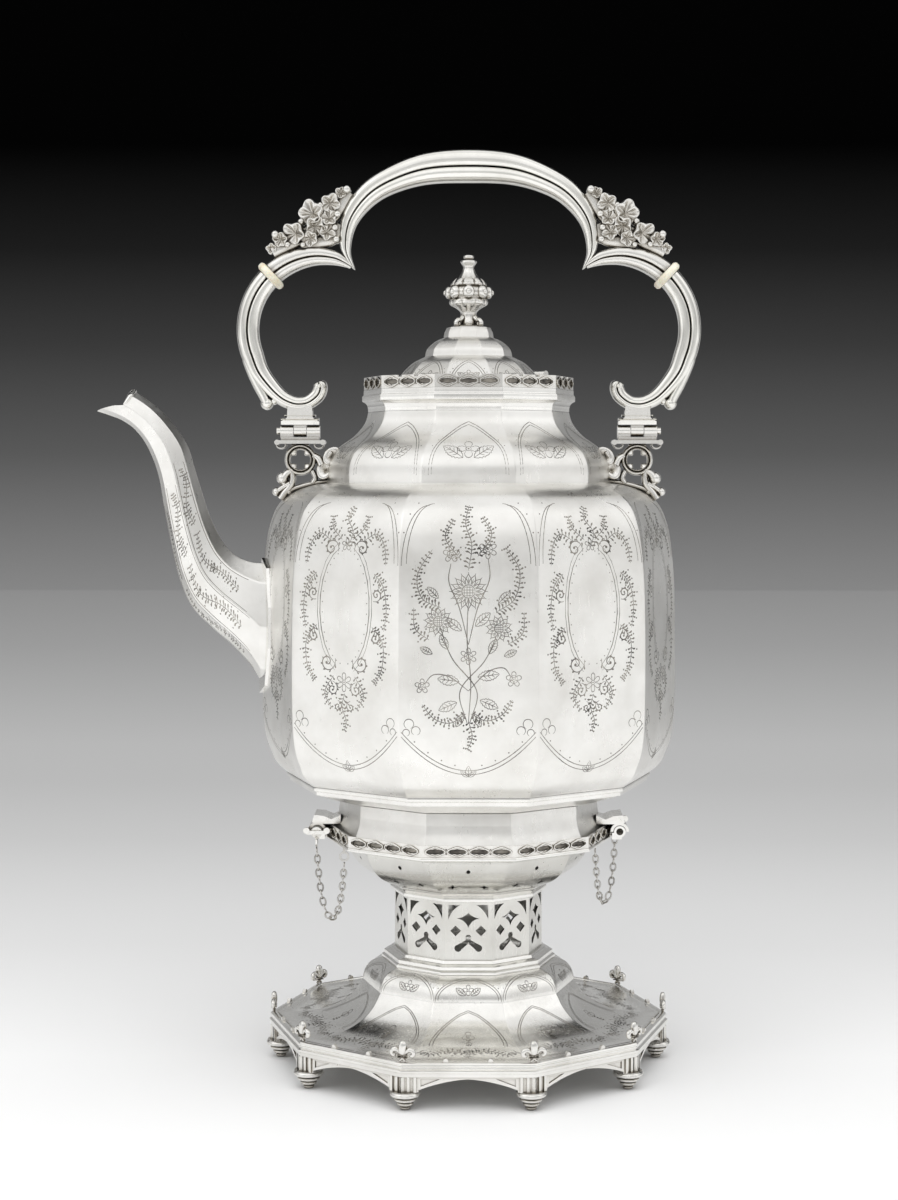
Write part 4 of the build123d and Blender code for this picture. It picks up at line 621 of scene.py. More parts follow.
class Panel:
    """One flat of a ten-sided form, measured in millimetres: x across from its middle, t up along its outline."""

    def __init__(self, outer, number):
        self.line = smooth_run(outer, 10 * len(outer)) * np.array([FLAT, 1.0])
        self.t = distance_along(self.line)
        way = np.gradient(self.line, self.t, axis=0)
        self.out = pair(way[:, 1], -way[:, 0])
        self.away, self.across = compass(-math.pi / 2 + 2 * HALF * number)
        self.length = self.t[-1]

    def half(self, t):
        """Half the panel's width at t."""
        return np.interp(t, self.t, self.line[:, 0]) * TAN

    def height(self, z):
        """The t at which the panel passes a height."""
        return float(np.interp(z, self.line[:, 1], self.t))

    def at(self, *points):
        """Points (x, height) as (x, t)."""
        return [(x, self.height(z)) for x, z in points]

    def place(self, points, lift):
        """Points (x, t) put on the panel and raised by the lift."""
        x, t = points[:, :1], points[:, 1]
        a, z = (looked_up(t, self.t, self.line) + lift * looked_up(t, self.t, self.out)).T
        return (a[:, None] * self.away + x * self.across + z[:, None] * UP) * MM


class SpoutFlat:
    """One flat of the spout between two of its arrises: x across from its middle, t along it from the root."""

    def __init__(self, first, second):
        a, b = spout_lines(0.0, [(first, second, 0.0), (first, second, 1.0)]).transpose(1, 0, 2)
        self.middle, span = (a + b) / 2, b - a
        self.wide = np.linalg.norm(span, axis=1)
        self.across = span / self.wide[:, None]
        way = np.gradient(self.middle, axis=0)
        core = spout_lines(0.0, [(CORNERS[0], CORNERS[4], 0.5)])[:, 0]
        if (np.cross(self.across, way) * (self.middle - core)).sum() < 0:
            self.across = -self.across
        self.out = unit(np.cross(self.across, way))
        self.t = distance_along(self.middle)
        self.length = self.t[-1]

    def half(self, t):
        """Half the flat's width at t."""
        return np.interp(t, self.t, self.wide) / 2

    def place(self, points, lift):
        """Points (x, t) put on the flat and raised by the lift."""
        middle, across, out = (looked_up(points[:, 1], self.t, rows) for rows in (self.middle, self.across, self.out))
        return (middle + points[:, :1] * across + lift * out) * MM


def ahead(x, t, angle, reach, off=0):
    """Points at a reach from a place along an angle in degrees, and off to the left of it."""
    c, d = math.cos(math.radians(angle)), math.sin(math.radians(angle))
    return pair(x + reach * c - off * d, t + reach * d + off * c)


class Graver:
    """Collects engraved lines and dots on panels into one mesh. Each line is a low ridge of darkened burr."""

    def __init__(self):
        self.grids, self.panel = [], None
        self.width = sizes().line_width / MM
        self.lift = sizes().line_lift / MM

    def add(self, *rows):
        """A strip through rows of points on the panel, each row at its own lift."""
        strip = np.stack([self.panel.place(points, lift) for points, lift in rows], axis=1)
        self.grids.append((strip, False, False, False))

    def line(self, points, width=1.0, taper=0.7, both=False, swell=None):
        """A line along the points, w(s) = width (1 - taper |2s - 1|^2), or with a swell's share of width at each."""
        p = np.asarray(points, float)
        way = np.gradient(p, axis=0)
        way /= np.maximum(np.linalg.norm(way, axis=1), 1e-9)[:, None]
        side = pair(-way[:, 1], way[:, 0])
        s = np.linspace(0, 1, len(p))
        share = 1 - taper * np.abs(2 * s - 1) ** 2 if swell is None else np.asarray(swell, float)
        w = (self.width * width * share / 2)[:, None]
        self.add((p + side * w, SUNK), (p, self.lift), (p - side * w, SUNK))
        if both:
            self.line(p[::-1] * np.array([-1.0, 1.0]), width, taper, swell=None if swell is None else swell[::-1])

    def dot(self, x, t, radius=0.42, both=False):
        """A round punch mark, r cos(u) wide and as high as the lines."""
        ring = round_points(x, t, radius, np.linspace(0, 2 * math.pi, 8)[::-1])
        hub = np.repeat([[x, t]], 8, axis=0)
        self.add((ring, SUNK), ((ring + hub) / 2, self.lift * 0.8), (hub, self.lift))
        if both:
            self.dot(-x, t, radius)

    def arc(self, x, t, radius, start, end, width=1.0, both=False, tall=1.0):
        """Part of a circle or of an oval from start to end angle, in degrees."""
        a = np.radians(np.linspace(start, end, max(6, int(abs(end - start) / 14))))
        self.line(pair(x + radius * np.cos(a), t + tall * radius * np.sin(a)), width, 0.6, both)

    def leaf(self, x, t, angle, length, breadth):
        """Pointed leaf: two bowed edges b sin(pi s^0.8) either side of a rib."""
        s = np.linspace(0, 1, 8)
        for bow in (breadth / 2, -breadth / 2, 0):
            reach = length * s * (1 if bow else 0.8)
            self.line(ahead(x, t, angle, reach, bow * np.sin(math.pi * s ** 0.8)), 0.8, 0.5)

    def flower(self, x, t, radius, petals=5):
        """Round flower: each petal is a loop r(u) = radius (0.30 + 0.70 sin^0.6 u), round a ring and a dot."""
        u = np.linspace(0, math.pi, 9)
        for k in range(petals):
            a = math.radians(90) + 2 * math.pi * k / petals + (u / math.pi - 0.5) * 2 * math.pi / petals * 0.92
            self.line(round_points(x, t, radius * (0.30 + 0.70 * np.sin(u) ** 0.6), a), 1.0, 0.4)
        self.arc(x, t, radius * 0.24, 0, 360, 0.9)
        self.dot(x, t, radius * 0.10)

    def comma(self, x, t, angle, length, hand, both=False):
        """Short curled cut that starts as a hair and ends in a bead: it turns by 50 degrees over its length."""
        a = np.radians(angle + hand * np.array([0, 14, 28, 42, 50]))
        step = length / 4 * pair(np.cos(a), np.sin(a))
        self.line(np.array([x, t]) + np.concatenate([[[0, 0]], np.cumsum(step[1:], axis=0)]), 2.5, 0, both,
                  (0.18, 0.34, 0.6, 1.0, 0.25))

    def frond(self, points, size, both=False, beads=True):
        """Curving stem with curled cuts on both sides, shrinking to the tip, and beads beyond every third."""
        p = smooth_run(points, 40)
        self.line(p, 1.0, 0.5, both)
        length = np.linalg.norm(np.diff(p, axis=0), axis=1).sum()
        way = np.degrees(np.arctan2(*np.gradient(p, axis=0).T[::-1]))
        count = max(4, int(length / 1.7))
        for i in range(count):
            s = (i + 0.5) / count
            k = int(s * 39)
            reach = size * (1 - 0.55 * s) * (1.0 if i % 2 else 0.72)
            for hand in (1, -1):
                self.comma(*p[k], way[k] + hand * 34, reach, hand, both)
                if beads and i % 3 == 1:
                    a = math.radians(way[k] + hand * 70)
                    self.dot(p[k, 0] + reach * 1.35 * math.cos(a), p[k, 1] + reach * 1.35 * math.sin(a), 0.46,
                             both)

    def spiral(self, x, t, radius, turn, hand=1, width=1.6, size=2.0):
        """Leafy spiral and its twin: r(s) = radius (1 - 0.86 s^0.8) over 520 degrees, with cuts on its first turn."""
        s = np.linspace(0, 1, 34)
        a = np.radians(turn) + hand * s * math.radians(520)
        p = round_points(x, t, radius * (1 - 0.86 * s ** 0.8), a)
        self.line(p, width, 0.55, True)
        self.dot(*p[-1], radius * 0.17, True)
        for k in range(2, 18, 3):
            self.comma(*p[k], math.degrees(a[k]) + hand * 40, size * (1 - 0.03 * k), hand, True)

    def toothed_leaf(self, x, t, angle, length, breadth):
        """Leaf with toothed edges, b sin^0.8(pi s) (1 + 0.16 sin 18 pi s), a rib and slanting veins."""
        s, v = np.linspace(0, 1, 17), np.linspace(0, 1, 4)
        for bow in (breadth / 2, -breadth / 2):
            edge = bow * np.sin(math.pi * s) ** 0.8 * (1 + 0.16 * np.sin(18 * math.pi * s))
            self.line(ahead(x, t, angle, length * s, edge), 1.1, 0.4)
            for k in (0.28, 0.46, 0.64):
                vein = bow * 0.72 * v * math.sin(math.pi * (k + 0.14))
                self.line(ahead(x, t, angle, length * (k + 0.14 * v), vein), 0.8, 0.5)
        self.line(ahead(x, t, angle, length * s * 0.96), 1.0, 0.5)

    def daisy(self, x, t, radius, petals, turn=0):
        """Open flower: pointed petals round a cross-cut heart in a ring."""
        s = np.linspace(0, 1, 7)
        for k in range(petals):
            a = turn + 360 * k / petals
            for bow in (1, -1):
                off = bow * radius * math.pi / petals * 0.80 * np.sin(math.pi * np.clip(s + 0.25, 0, 1.0)) ** 0.7
                self.line(ahead(x, t, a, radius * (0.36 + 0.64 * s), off), 0.95, 0.4)
            self.line(ahead(x, t, a, radius * np.array([0.40, 0.55, 0.72])), 0.8, 0.6)
        self.arc(x, t, radius * 0.34, 0, 360, 1.2)
        for k in np.linspace(-0.22, 0.22, 4):
            half = math.sqrt(0.30 ** 2 - k ** 2) * radius
            line = np.array([(-half, k * radius), (0, k * radius), (half, k * radius)])
            for cut in (line, line[:, ::-1]):
                self.line(cut + np.array([x, t]), 0.8, 0.3)

    def finish(self, name, body):
        """The lines as one piece."""
        return form(name, self.grids, graved(), body, 80)


def grave_flower_panel(g):
    """Upright bouquet on crossed stems: open flowers, toothed leaves and beaded fronds."""
    for points in (((0, 172), (1.0, 190), (-0.6, 208), (0, 226)), ((0.6, 172), (3.6, 186), (-7, 200), (-12.4, 214)),
                   ((-0.6, 172), (-3.6, 186), (7, 199), (12.6, 211)), ((0, 186), (8, 194), (15, 196), (18.5, 192)),
                   ((0, 186), (-8, 192), (-15, 193), (-19, 189)), ((0, 206), (4, 222), (9, 234), (8.6, 243)),
                   ((0, 206), (-4, 222), (-8.4, 233), (-7.6, 241))):
        g.line(smooth_run(g.panel.at(*points), 24), 1.3, 0.4)
    z = g.panel.height
    g.daisy(0, z(229), 8.4, 16)
    g.daisy(-13.0, z(216), 6.6, 13, 8)
    g.daisy(13.2, z(213), 6.0, 12, 20)
    for x, h, r, n in ((8.4, 247, 4.0, 6), (-7.4, 245, 3.6, 5), (19.6, 191, 3.4, 5), (-20, 188, 3.2, 5),
                       (0, 201, 3.6, 6)):
        g.flower(x, z(h), r, n)
        g.arc(x, z(h), r * 0.5, 0, 360, 0.8)
    for x, h, angle, length in ((3, 214, 42, 8.6), (-3, 212, 140, 8.2), (4, 192, 8, 9.4), (-4, 190, 172, 9.4),
                                (9, 202, 64, 7.2), (-9, 204, 118, 7.0), (5, 182, -24, 8.6), (-5, 181, 204, 8.6),
                                (2.4, 176, -62, 6.4), (-2.4, 176, 242, 6.4), (13, 224, 44, 7.0), (-13, 226, 134, 6.8),
                                (15.4, 201, 24, 6.0), (-15.6, 202, 152, 6.0)):
        g.toothed_leaf(x, z(h), angle, length, length * 0.46)
    for size, *points in (
            (3.4, (0, 238), (1.4, 249), (-1.2, 258), (0.4, 266)), (3.4, (12, 220), (20, 226), (22, 238), (16, 248)),
            (3.4, (-12, 222), (-20, 226), (-22, 236), (-15.6, 247)), (2.8, (4, 244), (10, 253), (6, 261)),
            (2.8, (-3.6, 243), (-10, 252), (-6.4, 260)), (2.8, (17, 206), (23.4, 211), (24, 220)),
            (2.8, (-17, 208), (-23, 213), (-23.6, 222)), (3.0, (1, 176), (8, 173), (15, 176), (19, 182)),
            (3.0, (-1, 176), (-8, 172), (-15, 174), (-20, 180)), (2.8, (0, 173), (1.6, 166), (-0.6, 160))):
        g.frond(g.panel.at(*points), size)


def grave_cartouche_panel(g):
    """Plain oval field framed by leafy C-scrolls, with beaded fronds round it and a spray of spirals under it."""
    mid, wide = g.panel.height(221), 14.0
    tall = g.panel.height(248) - mid

    def at(k):
        return mid + tall * k

    for k, width in ((1.0, 1.5), (1.10, 1.0)):
        g.arc(0, mid, wide * k, -70, 74, width, both=True, tall=tall / wide)
    for x, k, radius, turn, hand, size in ((8.6, 0.96, 4.4, 200, -1, 2.0), (9.4, -0.90, 4.8, 160, 1, 2.0),
                                           (17.8, 0.22, 3.2, 240, 1, 1.6), (17.2, -0.48, 3.4, 130, -1, 1.6)):
        g.spiral(x, at(k), radius, turn, hand, size=size)
    for size, both, *points in ((3.6, False, (0.4, 0.98), (2.6, 1.22), (-1.4, 1.46), (0.6, 1.66)),
                                (2.8, True, (3, 1.10), (9, 1.30), (10, 1.50)),
                                (3.2, True, (9, 1.08), (16, 1.20), (21, 1.00), (22.4, 0.70)),
                                (3.0, True, (16.2, 0.56), (21.4, 0.36), (23.4, 0), (22.2, -0.36)),
                                (3.2, True, (15.6, -0.30), (21.6, -0.56), (21.0, -0.98), (16.4, -1.22)),
                                (2.8, True, (6.0, -1.12), (11, -1.40), (7.0, -1.66)),
                                (3.2, False, (0.4, -1.40), (-1.2, -1.62), (1.0, -1.84), (-0.2, -2.02))):
        g.frond([(x, at(k)) for x, k in points], size, both)
    g.flower(0, at(-1.22), 4.2, 6)
    g.flower(0, at(1.02), 2.8, 5)
    for x, k, r in ((6.6, -1.34, 3.4), (3.6, -1.62, 2.6)):
        g.spiral(x, at(k), r, 90, width=1.3, size=1.5)
    for k in range(16):
        a = math.radians(-80 + 10.6 * k)
        g.dot(wide * 0.90 * math.cos(a), mid + tall * 0.93 * math.sin(a), 0.34, both=True)


def grave_borders(g):
    """Pointed double festoons low on the body and arched corners under its upper edge."""
    low, mid, high, top = (g.panel.height(z) for z in (149, 166, 240, 266))
    s = np.linspace(0, 1, 14)
    h = float(g.panel.half(mid)) - 1.0
    for rise in (0.0, 2.0):
        g.line(pair(h * s, low + rise + (mid - low) * s ** 1.9), 1.1, 0.3, both=True)
    for k in (0.2, 0.4, 0.6, 0.8):
        g.dot(h * k, low + 3.8 + (mid - low) * k ** 1.9, 0.40, both=True)
    for x, t, r in ((-3.4, 5.6, 2.1), (-6.4, 2.6, 1.9), (-2.2, 1.8, 1.5)):
        g.arc(h + x, mid + t, r, -60, 250, 1.0, both=True)
    for angle, length, breadth in ((90, 5.4, 2.6), (38, 4.4, 2.0), (142, 4.4, 2.0)):
        g.leaf(0, low - 1.0, angle, length, breadth)
    h = float(g.panel.half(high)) - 0.8
    for k in (0.0, 2.2):
        g.line(pair(h - k - (h * 0.42) * s ** 1.6, high + k * 0.4 + (top - high) * (1 - (1 - s) ** 1.8)),
               1.1, 0.3, both=True)
    for k in (0.25, 0.5, 0.75):
        g.dot(h + 0.2 - (h * 0.42) * k ** 1.6, high + 3.4 + (top - high) * (1 - (1 - k) ** 1.8), 0.38, both=True)


def grave_arches(g, low, high, share):
    """Pointed arch with an inner line and a small flower under its point."""
    t0, t1 = g.panel.height(low), g.panel.height(high)
    s = np.linspace(0, 1, 16)
    for k in (0.0, 1.3):
        foot = float(g.panel.half(t0)) * share - k
        arch = pair(foot * np.cos(s * math.pi / 2) ** 0.75, t0 + k * 0.4 + (t1 - t0 - 1.6 * k) * s ** 0.9)
        g.line(arch, 1.0, 0.3, both=True)
    m = t0 + (t1 - t0) * 0.42
    r = min(foot * 0.30, (t1 - t0) * 0.20)
    g.flower(0, m, r, 4)
    for side in (-1, 1):
        g.toothed_leaf(side * r * 0.5, m - r, 90 + side * -52, r * 2.2, r * 1.1)
    for k in (0.3, 0.6):
        g.dot(foot * (1 - 0.55 * k) + 2.2, t0 + (t1 - t0) * (0.35 + 0.45 * k), 0.34, both=True)


def grave_foot_panel(g):
    """Pointed double arch with a flower and fronds, and a row of beads, low on the raised foot."""
    t = g.panel.length
    s = np.linspace(0, 1, 14)
    for d in (0.0, 1.6):
        w = float(g.panel.half(t * 0.42)) * 0.80 - d
        g.line(pair(w * np.cos(s * math.pi / 2) ** 0.7, t * 0.42 + d * 0.5 + (t * 0.50 - d) * s), 1.1, 0.3, both=True)
    g.flower(0, t * 0.60, 3.0, 3)
    g.frond([(0, t * 0.42), (0.3, t * 0.48), (0, t * 0.55)], 2.2, beads=False)
    g.frond([(1.0, t * 0.24), (9, t * 0.30), (17, t * 0.20), (22, t * 0.28)], 4.0, both=True)
    g.frond([(0.0, t * 0.34), (0.8, t * 0.24), (0, t * 0.10)], 3.6)
    for x in (4, 8, 12, 16, 20):
        g.dot(x, t * 0.36 + 0.02 * x * x * 0.4, 0.36, both=True)


def grave_spout_flat(g, broad):
    """Two beaded fronds up a flat and a line inside each arris, with a flower on a broad g.panel."""
    long = g.panel.length
    t = np.linspace(long * 0.06, long * 0.62, 40)
    for hand in (-1, 1):
        g.line(pair(hand * (g.panel.half(t) - 0.9), t), 1.0, 0.3)
    h = float(g.panel.half(long * 0.22))
    g.frond([(0, long * 0.10), (h * 0.3, long * 0.18), (-h * 0.3, long * 0.27), (0, long * 0.36)],
            h * (0.50 if broad else 0.62))
    g.frond([(0, long * 0.39), (-h * 0.25, long * 0.46), (h * 0.2, long * 0.54), (0, long * 0.60)], h * 0.42)
    if broad:
        g.flower(0, long * 0.22, h * 0.34)


# ------------------------------------------------------------------ pieces
def ten_sided_piece(name, line, material, body, rounding, node):
    """Solid ring of ten flats from a closed line of (radius, height) in millimetres."""
    r, z = soften(line, 0.35).T * MM
    outward = np.sum(r * np.roll(z, -1) - np.roll(r, -1) * z) > 0
    return form(name, [(ten_sided_grid(r, z, rounding), True, True, not outward)], material, body, 32, (node,))


def raised(name, runs, body, node, rounding=None, metal=None):
    """Piece of raised sheet from the runs of its outer face."""
    outer = outline(runs)
    line = np.concatenate([outer, offset_line(outer, SHEET)[::-1]])
    rounding = rounding or sizes().moulding_rounding
    return ten_sided_piece(name, line, metal or raised_silver(), body, rounding, node)


def moulding(name, points, body, node):
    """Drawn moulding from the corners of its section."""
    return ten_sided_piece(name, points, silver(), body, sizes().moulding_rounding, node)


def pierce(thing, prism):
    """Cuts a closed prism, given as a grid in metres, out of a piece."""
    tool_mesh = new_mesh("cutter", *join_grids([prism]))
    tool = new_object("cutter", tool_mesh)
    cut = thing.modifiers.new("Opening", "BOOLEAN")
    cut.operation, cut.solver, cut.object = "DIFFERENCE", "EXACT", tool
    bpy.context.view_layer.update()
    holed = bpy.data.meshes.new_from_object(thing.evaluated_get(bpy.context.evaluated_depsgraph_get()))
    thing.modifiers.clear()
    if len(holed.polygons) < len(thing.data.polygons) // 2:
        raise RuntimeError(f"{thing.name} could not be pierced")
    thing.data = holed
    holed.set_sharp_from_angle(angle=math.radians(32))
    bpy.data.objects.remove(tool)
    bpy.data.meshes.remove(tool_mesh)


def oval_prism(centre, across, wide, tall, deep):
    """Prism with an oval end: centre + wide cos(u) across + tall sin(u) up, drawn out both ways by deep."""
    u = turns(32)[:, None]
    ring = np.cos(u) * wide * np.asarray(across, float) + np.sin(u) * tall * UP
    along = np.cross(across, UP)
    rows = [ring * 0 - along * deep, ring - along * deep, ring + along * deep, ring * 0 + along * deep]
    return (np.stack(rows) + np.asarray(centre, float)) * MM, False, True, True


def build_stand():
    """The raised foot, its mouldings, bowl rim, crests and feet."""
    raised("foot_dome_form", [[(91.4, 21.8), (90.2, 21.8)], DOME_LOW, DOME_HIGH, [(41.5, 48.6), (33.6, 48.6)]],
           "stand", "foot_dome", metal=tray_silver())
    ledge = smooth_run([(58.5, 104.4), (62.1, 104.8), (64.9, 105.6), (67.9, 106.3)], 12)
    for name, node, *corners in (
            ("tray_rim_form", "tray_rim", (90.4, 15.4), (94.8, 15.4), (94.8, 17.1), (95.6, 17.4), (95.6, 18.6),
             (94.4, 19.0), (94.2, 20.0), (95.0, 20.4), (94.8, 21.4), (94.0, 22.0), (92.2, 22.0), (91.6, 20.6),
             (90.4, 20.6)),
            ("waist_moulding_low", "waist_moulding_lower", (33.6, 48.6), (41.5, 48.6), (41.5, 50.2), (40.2, 50.7),
             (40.4, 52.4), (37.0, 53.0), (36.6, 54.4), (33.6, 54.4)),
            ("waist_moulding_high", "waist_moulding_upper", (33.6, 82.0), (37.3, 82.0), (37.3, 83.5), (36.4, 84.1),
             (37.5, 85.0), (38.7, 86.4), (33.6, 86.4)),
            ("gallery_moulding_form", "gallery_moulding", (56.1, 108.0), (56.1, 104.4), *ledge, (68.7, 106.5),
             (68.7, 107.4), (68.4, 108.0))):
        moulding(name, corners, "stand", node)
    build_tracery("stand_gallery", 68.1, 108.0, 5.4, 4, "stand")
    build_crests()
    build_feet()


def build_tracery(name, radius, low, height, slots, body):
    """Rim round every slot of a pierced strip, a dark lens of painted shade deep in it, and dots between the slots.
    """
    pitch = (2 * radius * math.sin(HALF) - 2.4) / slots
    long, tall, dots = pitch * 0.39, height * 0.26, Graver()
    u = np.linspace(0, 2 * math.pi, 33)
    rim = pair((long + 0.5) * np.cos(u), (tall + 0.45) * np.sin(u) * (1 + 0.16 * np.cos(u * 4)))
    v = turns(24)
    slot_shade_outline = pair((long + 0.2) * np.cos(v), np.sin(v) * (tall * 0.62 + 0.3 * np.exp(-(long * np.cos(v) / 0.9) ** 2)))
    rims, deep = [], []
    for k in range(SIDES):
        away, side = compass((2 * k + 1) * HALF)
        dots.panel = Panel([(radius + 0.02, low + height * t) for t in (0, 0.33, 0.67, 1)], k)
        for i in range(slots):
            x = pitch * (i - (slots - 1) / 2)
            at = away * radius * FLAT + side * x + UP * (low + height / 2)
            rims.append(carried(hoop(rim, 0.75, 1.3, 6), side, at))
            # Painted shade: a dark cushion set deep in each slot, where the opening is in shade
            deep.append(cushion(slot_shade_outline, 0.3, at - away * 0.7, side))
            if i:
                for t in (0.32, 0.68):
                    dots.dot(x - pitch / 2, height * t)
    form(f"{name}_tracery", rims, ornament_silver(), body)
    form(f"{name}_painted_slot_shade", deep, graved(), body)
    dots.finish(f"{name}_dots", body)


def build_feet():
    """Ten pendant feet, each four rounded discs that grow upwards."""
    line = []
    for low, high, wide, neck in ((0.0, 1.8, 2.5, 1.9), (1.8, 3.8, 3.9, 2.9), (3.8, 5.9, 5.3, 4.0),
                                  (5.9, 8.5, 7.1, 6.4)):
        line += [(neck * 0.8, low + 0.05), (wide * 0.93, low + 0.35), (wide, (low + high) / 2),
                 (wide * 0.95, high - 0.5), (neck, high - 0.1)]
    foot = turned_grid(np.array([(0.01, 0.02), *soften(line, 0.35), (6.4, 8.6), (0.01, 8.6)]), 30)
    form("pendant_feet", [(foot + FOOT_RADIUS * compass(2 * HALF * k)[0] * MM, False, True, False)
                          for k in range(SIDES)], cast_silver(), "stand", 50, ("feet",))


def build_crests():
    """Ten three-leaved crests on the rim, one over each arris: a tall leaf and two curls tied by a double band."""
    u = turns(32)
    tall = pair(1.85 * np.sin(u) * (1 + 0.35 * np.cos(u - 0.3) ** 2), 6.1 + 3.5 * np.cos(u))
    curl = smooth_run([(0.5, 2.4), (1.5, 4.5), (3.1, 5.6), (4.7, 5.1), (5.0, 3.7), (4.0, 3.1), (3.6, 3.7)], 26)
    fat = np.interp(np.linspace(0, 1, 26), [0, 0.35, 0.8, 1], [1.5, 2.5, 1.9, 1.5])
    grids = []
    for k in range(SIDES):
        away, side = compass(2 * HALF * k)
        at = away * RIM_RADIUS + UP * RIM_FLOOR
        grids.append(cushion(tall, 1.5, at, side))
        for hand in (1, -1):
            foot = rod([(0.1, 1.9), (0.7, 1.0), (1.5, 0.5)], (1.6, 1.4, 1.0), (1.6, 1.5, 1.2), 8)
            grids += [carried(part, side * hand, at) for part in (rod(curl, fat, fat * 0.95, 10), foot)]
        for h in (2.1, 3.0):
            band = rod([(-2.2, h), (-0.7, h + 0.15), (0.7, h + 0.15), (2.2, h)], 0.75, 2.6, 8)
            grids.append(carried(band, side, at))
    form("rim_crests", grids, ornament_silver(), "stand", replaces=("fleurs",))


def build_kettle():
    """Body and shoulder, base moulding, foot and collar."""
    body = raised("kettle_form", [BODY, [(68.4, 274.8), (67.2, 275.3)], SHOULDER], "kettle", "kettle_shell",
                  sizes().arris_rounding)
    pierce(body, oval_prism((-92, 0, 217), (0, 1, 0), 9.0, 20.0, 8.0))
    moulding("base_moulding_form", [(82.6, 133.8), (85.1, 133.8), (85.1, 135.5), (86.4, 135.9), (86.4, 137.6),
                                    (82.6, 137.6)], "kettle", "kettle_base_moulding")
    flare = between((65.0, 110.25), (61.4, 121.45), [(0.389, 0.304), (0.778, 0.643)])
    raised("kettle_foot_form", [[(65.2, 108.25), (65.0, 110.25)], flare, [(61.4, 121.45), (61.4, 126.85)]], "kettle",
           "kettle_foot")
    build_tracery("rim_gallery", 49.3, 318.4, 6.0, 3, "kettle")
    flare = smooth_run([(47.4, 308.2), (47.6, 310.6), (48.5, 312.2), (50.2, 313.2)], 12)
    moulding("collar_form", [(46.2, 308.2), *flare, (50.2, 315.6), (49.5, 316.2), (49.5, 318.4), (47.0, 318.4),
                             (47.0, 313.2)], "kettle", "neck_collar")


def spout_stations():
    """Underside points, topside points and half widths of the spout from its root to beyond its mouth."""
    under = between((SPOUT_ROOT, 177.8), (175.4, 308.8), [
        (0.077, 0.079), (0.185, 0.150), (0.306, 0.214), (0.429, 0.289), (0.503, 0.383), (0.551, 0.498),
        (0.594, 0.631), (0.633, 0.769), (0.694, 0.867), (0.766, 0.930), (0.846, 0.966), (0.925, 0.985)])
    over = between((SPOUT_ROOT, 237.2), (167.0, 321.6), [
        (0.071, 0.004), (0.143, 0.021), (0.209, 0.054), (0.268, 0.109), (0.320, 0.183), (0.369, 0.277),
        (0.417, 0.401), (0.466, 0.537), (0.510, 0.655), (0.605, 0.774), (0.724, 0.880), (0.871, 0.960)])
    wide = [1, 0.96, 0.893, 0.84, 0.787, 0.747, 0.707, 0.667, 0.627, 0.593, 0.573, 0.547, 0.453, 0.24]
    return under, over, np.array(wide) * 15


# Corners of the spout's section: share of its half height, share of its half width, and whether the wall pulls it in
CORNERS = ((1, 0, 0), (0.70, 0.74, 1), (0, 1, 0), (-0.70, 0.74, 1), (-1, 0, 0), (-0.70, -0.74, 1), (0, -1, 0),
           (0.70, -0.74, 1))


def spout_lines(wall, marks):
    """Lines along the spout, in millimetres. Each mark (corner, next corner, share) gives one line on the skin."""
    under, over, wide = spout_stations()
    under, over, wide = smooth_run(under, 90), smooth_run(over, 90), smooth_values(wide, 90)
    middle, half = (under + over) / 2, np.linalg.norm(over - under, axis=1) / 2
    pull = 1 - 0.35 * wall / wide
    way = (under - middle) / half[:, None]

    def at(corner):
        return pair((half - wall) * corner[0] * (pull if corner[2] else 1), (wide - wall) * corner[1])

    lines = []
    for here, other, share in marks:
        p = at(here) * (1 - share) + at(other) * share
        flat = middle + way * p[:, :1]
        lines.append(np.stack([-flat[:, 0], p[:, 1], flat[:, 1]], axis=1))
    return np.stack(lines, axis=1)


def cut_at_mouth(lines):
    """Each line drawn out only to where it meets the slanted mouth and the open top of the beak."""
    x, z = lines[..., 0], lines[..., 2]
    over = z - np.interp(-x, [157.7, 157.8, 161.6, 163.0, 165.8, 169.1, 173.1, 175.3],
                         [400, 317.6, 311.4, 311.4, 311.5, 310.9, 309.9, 309.0])
    ends = np.array([np.interp(0, [o[k - 1], o[k]], [k - 1, k]) if (k := int(np.argmax(o > 0))) else len(lines) - 1.0
                     for o in over.T])
    share = np.linspace(0, 1, len(lines))[:, None] * ends[None]
    low = np.minimum(share.astype(int), len(lines) - 2)
    part = (share - low)[..., None]
    column = np.arange(lines.shape[1])[None]
    return lines[low, column] * (1 - part) + lines[low + 1, column] * part


def build_spout():
    """Hollow bent spout, cut on the slant at its mouth, with a beak."""
    marks = []
    for k, here in enumerate(CORNERS):
        before, after = CORNERS[k - 1], CORNERS[(k + 1) % 8]
        marks += [(here, before, 0.05), (here, before, 0.015)]
        marks += [(here, after, share) for share in (0.015, 0.05, 0.2, 0.35, 0.5, 0.65, 0.8)]
    outer, inner = cut_at_mouth(spout_lines(0.0, marks)), cut_at_mouth(spout_lines(1.1, marks))
    wall = np.array(BODY)
    for lines in (outer, inner):
        lines[0, :, 0] = -(np.interp(lines[0, :, 2], wall[:, 1], wall[:, 0]) - 0.6 - TAN * np.abs(lines[0, :, 1]))
    form("spout_form", [(np.concatenate([outer, inner[::-1]]) * MM, True, True, True)], raised_silver(), "kettle", 40,
         ("spout",))
    rim = (outer[-1] + inner[-1]) / 2
    line = smooth_run(rim[rim[:, 2] > 311.7], 60)
    way = unit(np.gradient(line, axis=0))
    across = unit(np.cross(way, np.cross(np.array([-0.55, 0.0, 0.84]), way)))
    s = np.linspace(-1, 1, 60)
    swell = np.sqrt(np.clip(1 - s ** 6, 0.02, 1))
    rings = tube_rings(line, across, np.cross(way, across), 1.15 * swell, (1.2 + 0.7 * (1 - s ** 2)) * swell,
                       plain_section())
    form("spout_rim", [(capped(rings), False, True, True)], silver(), "kettle", replaces=("spout_lip",))


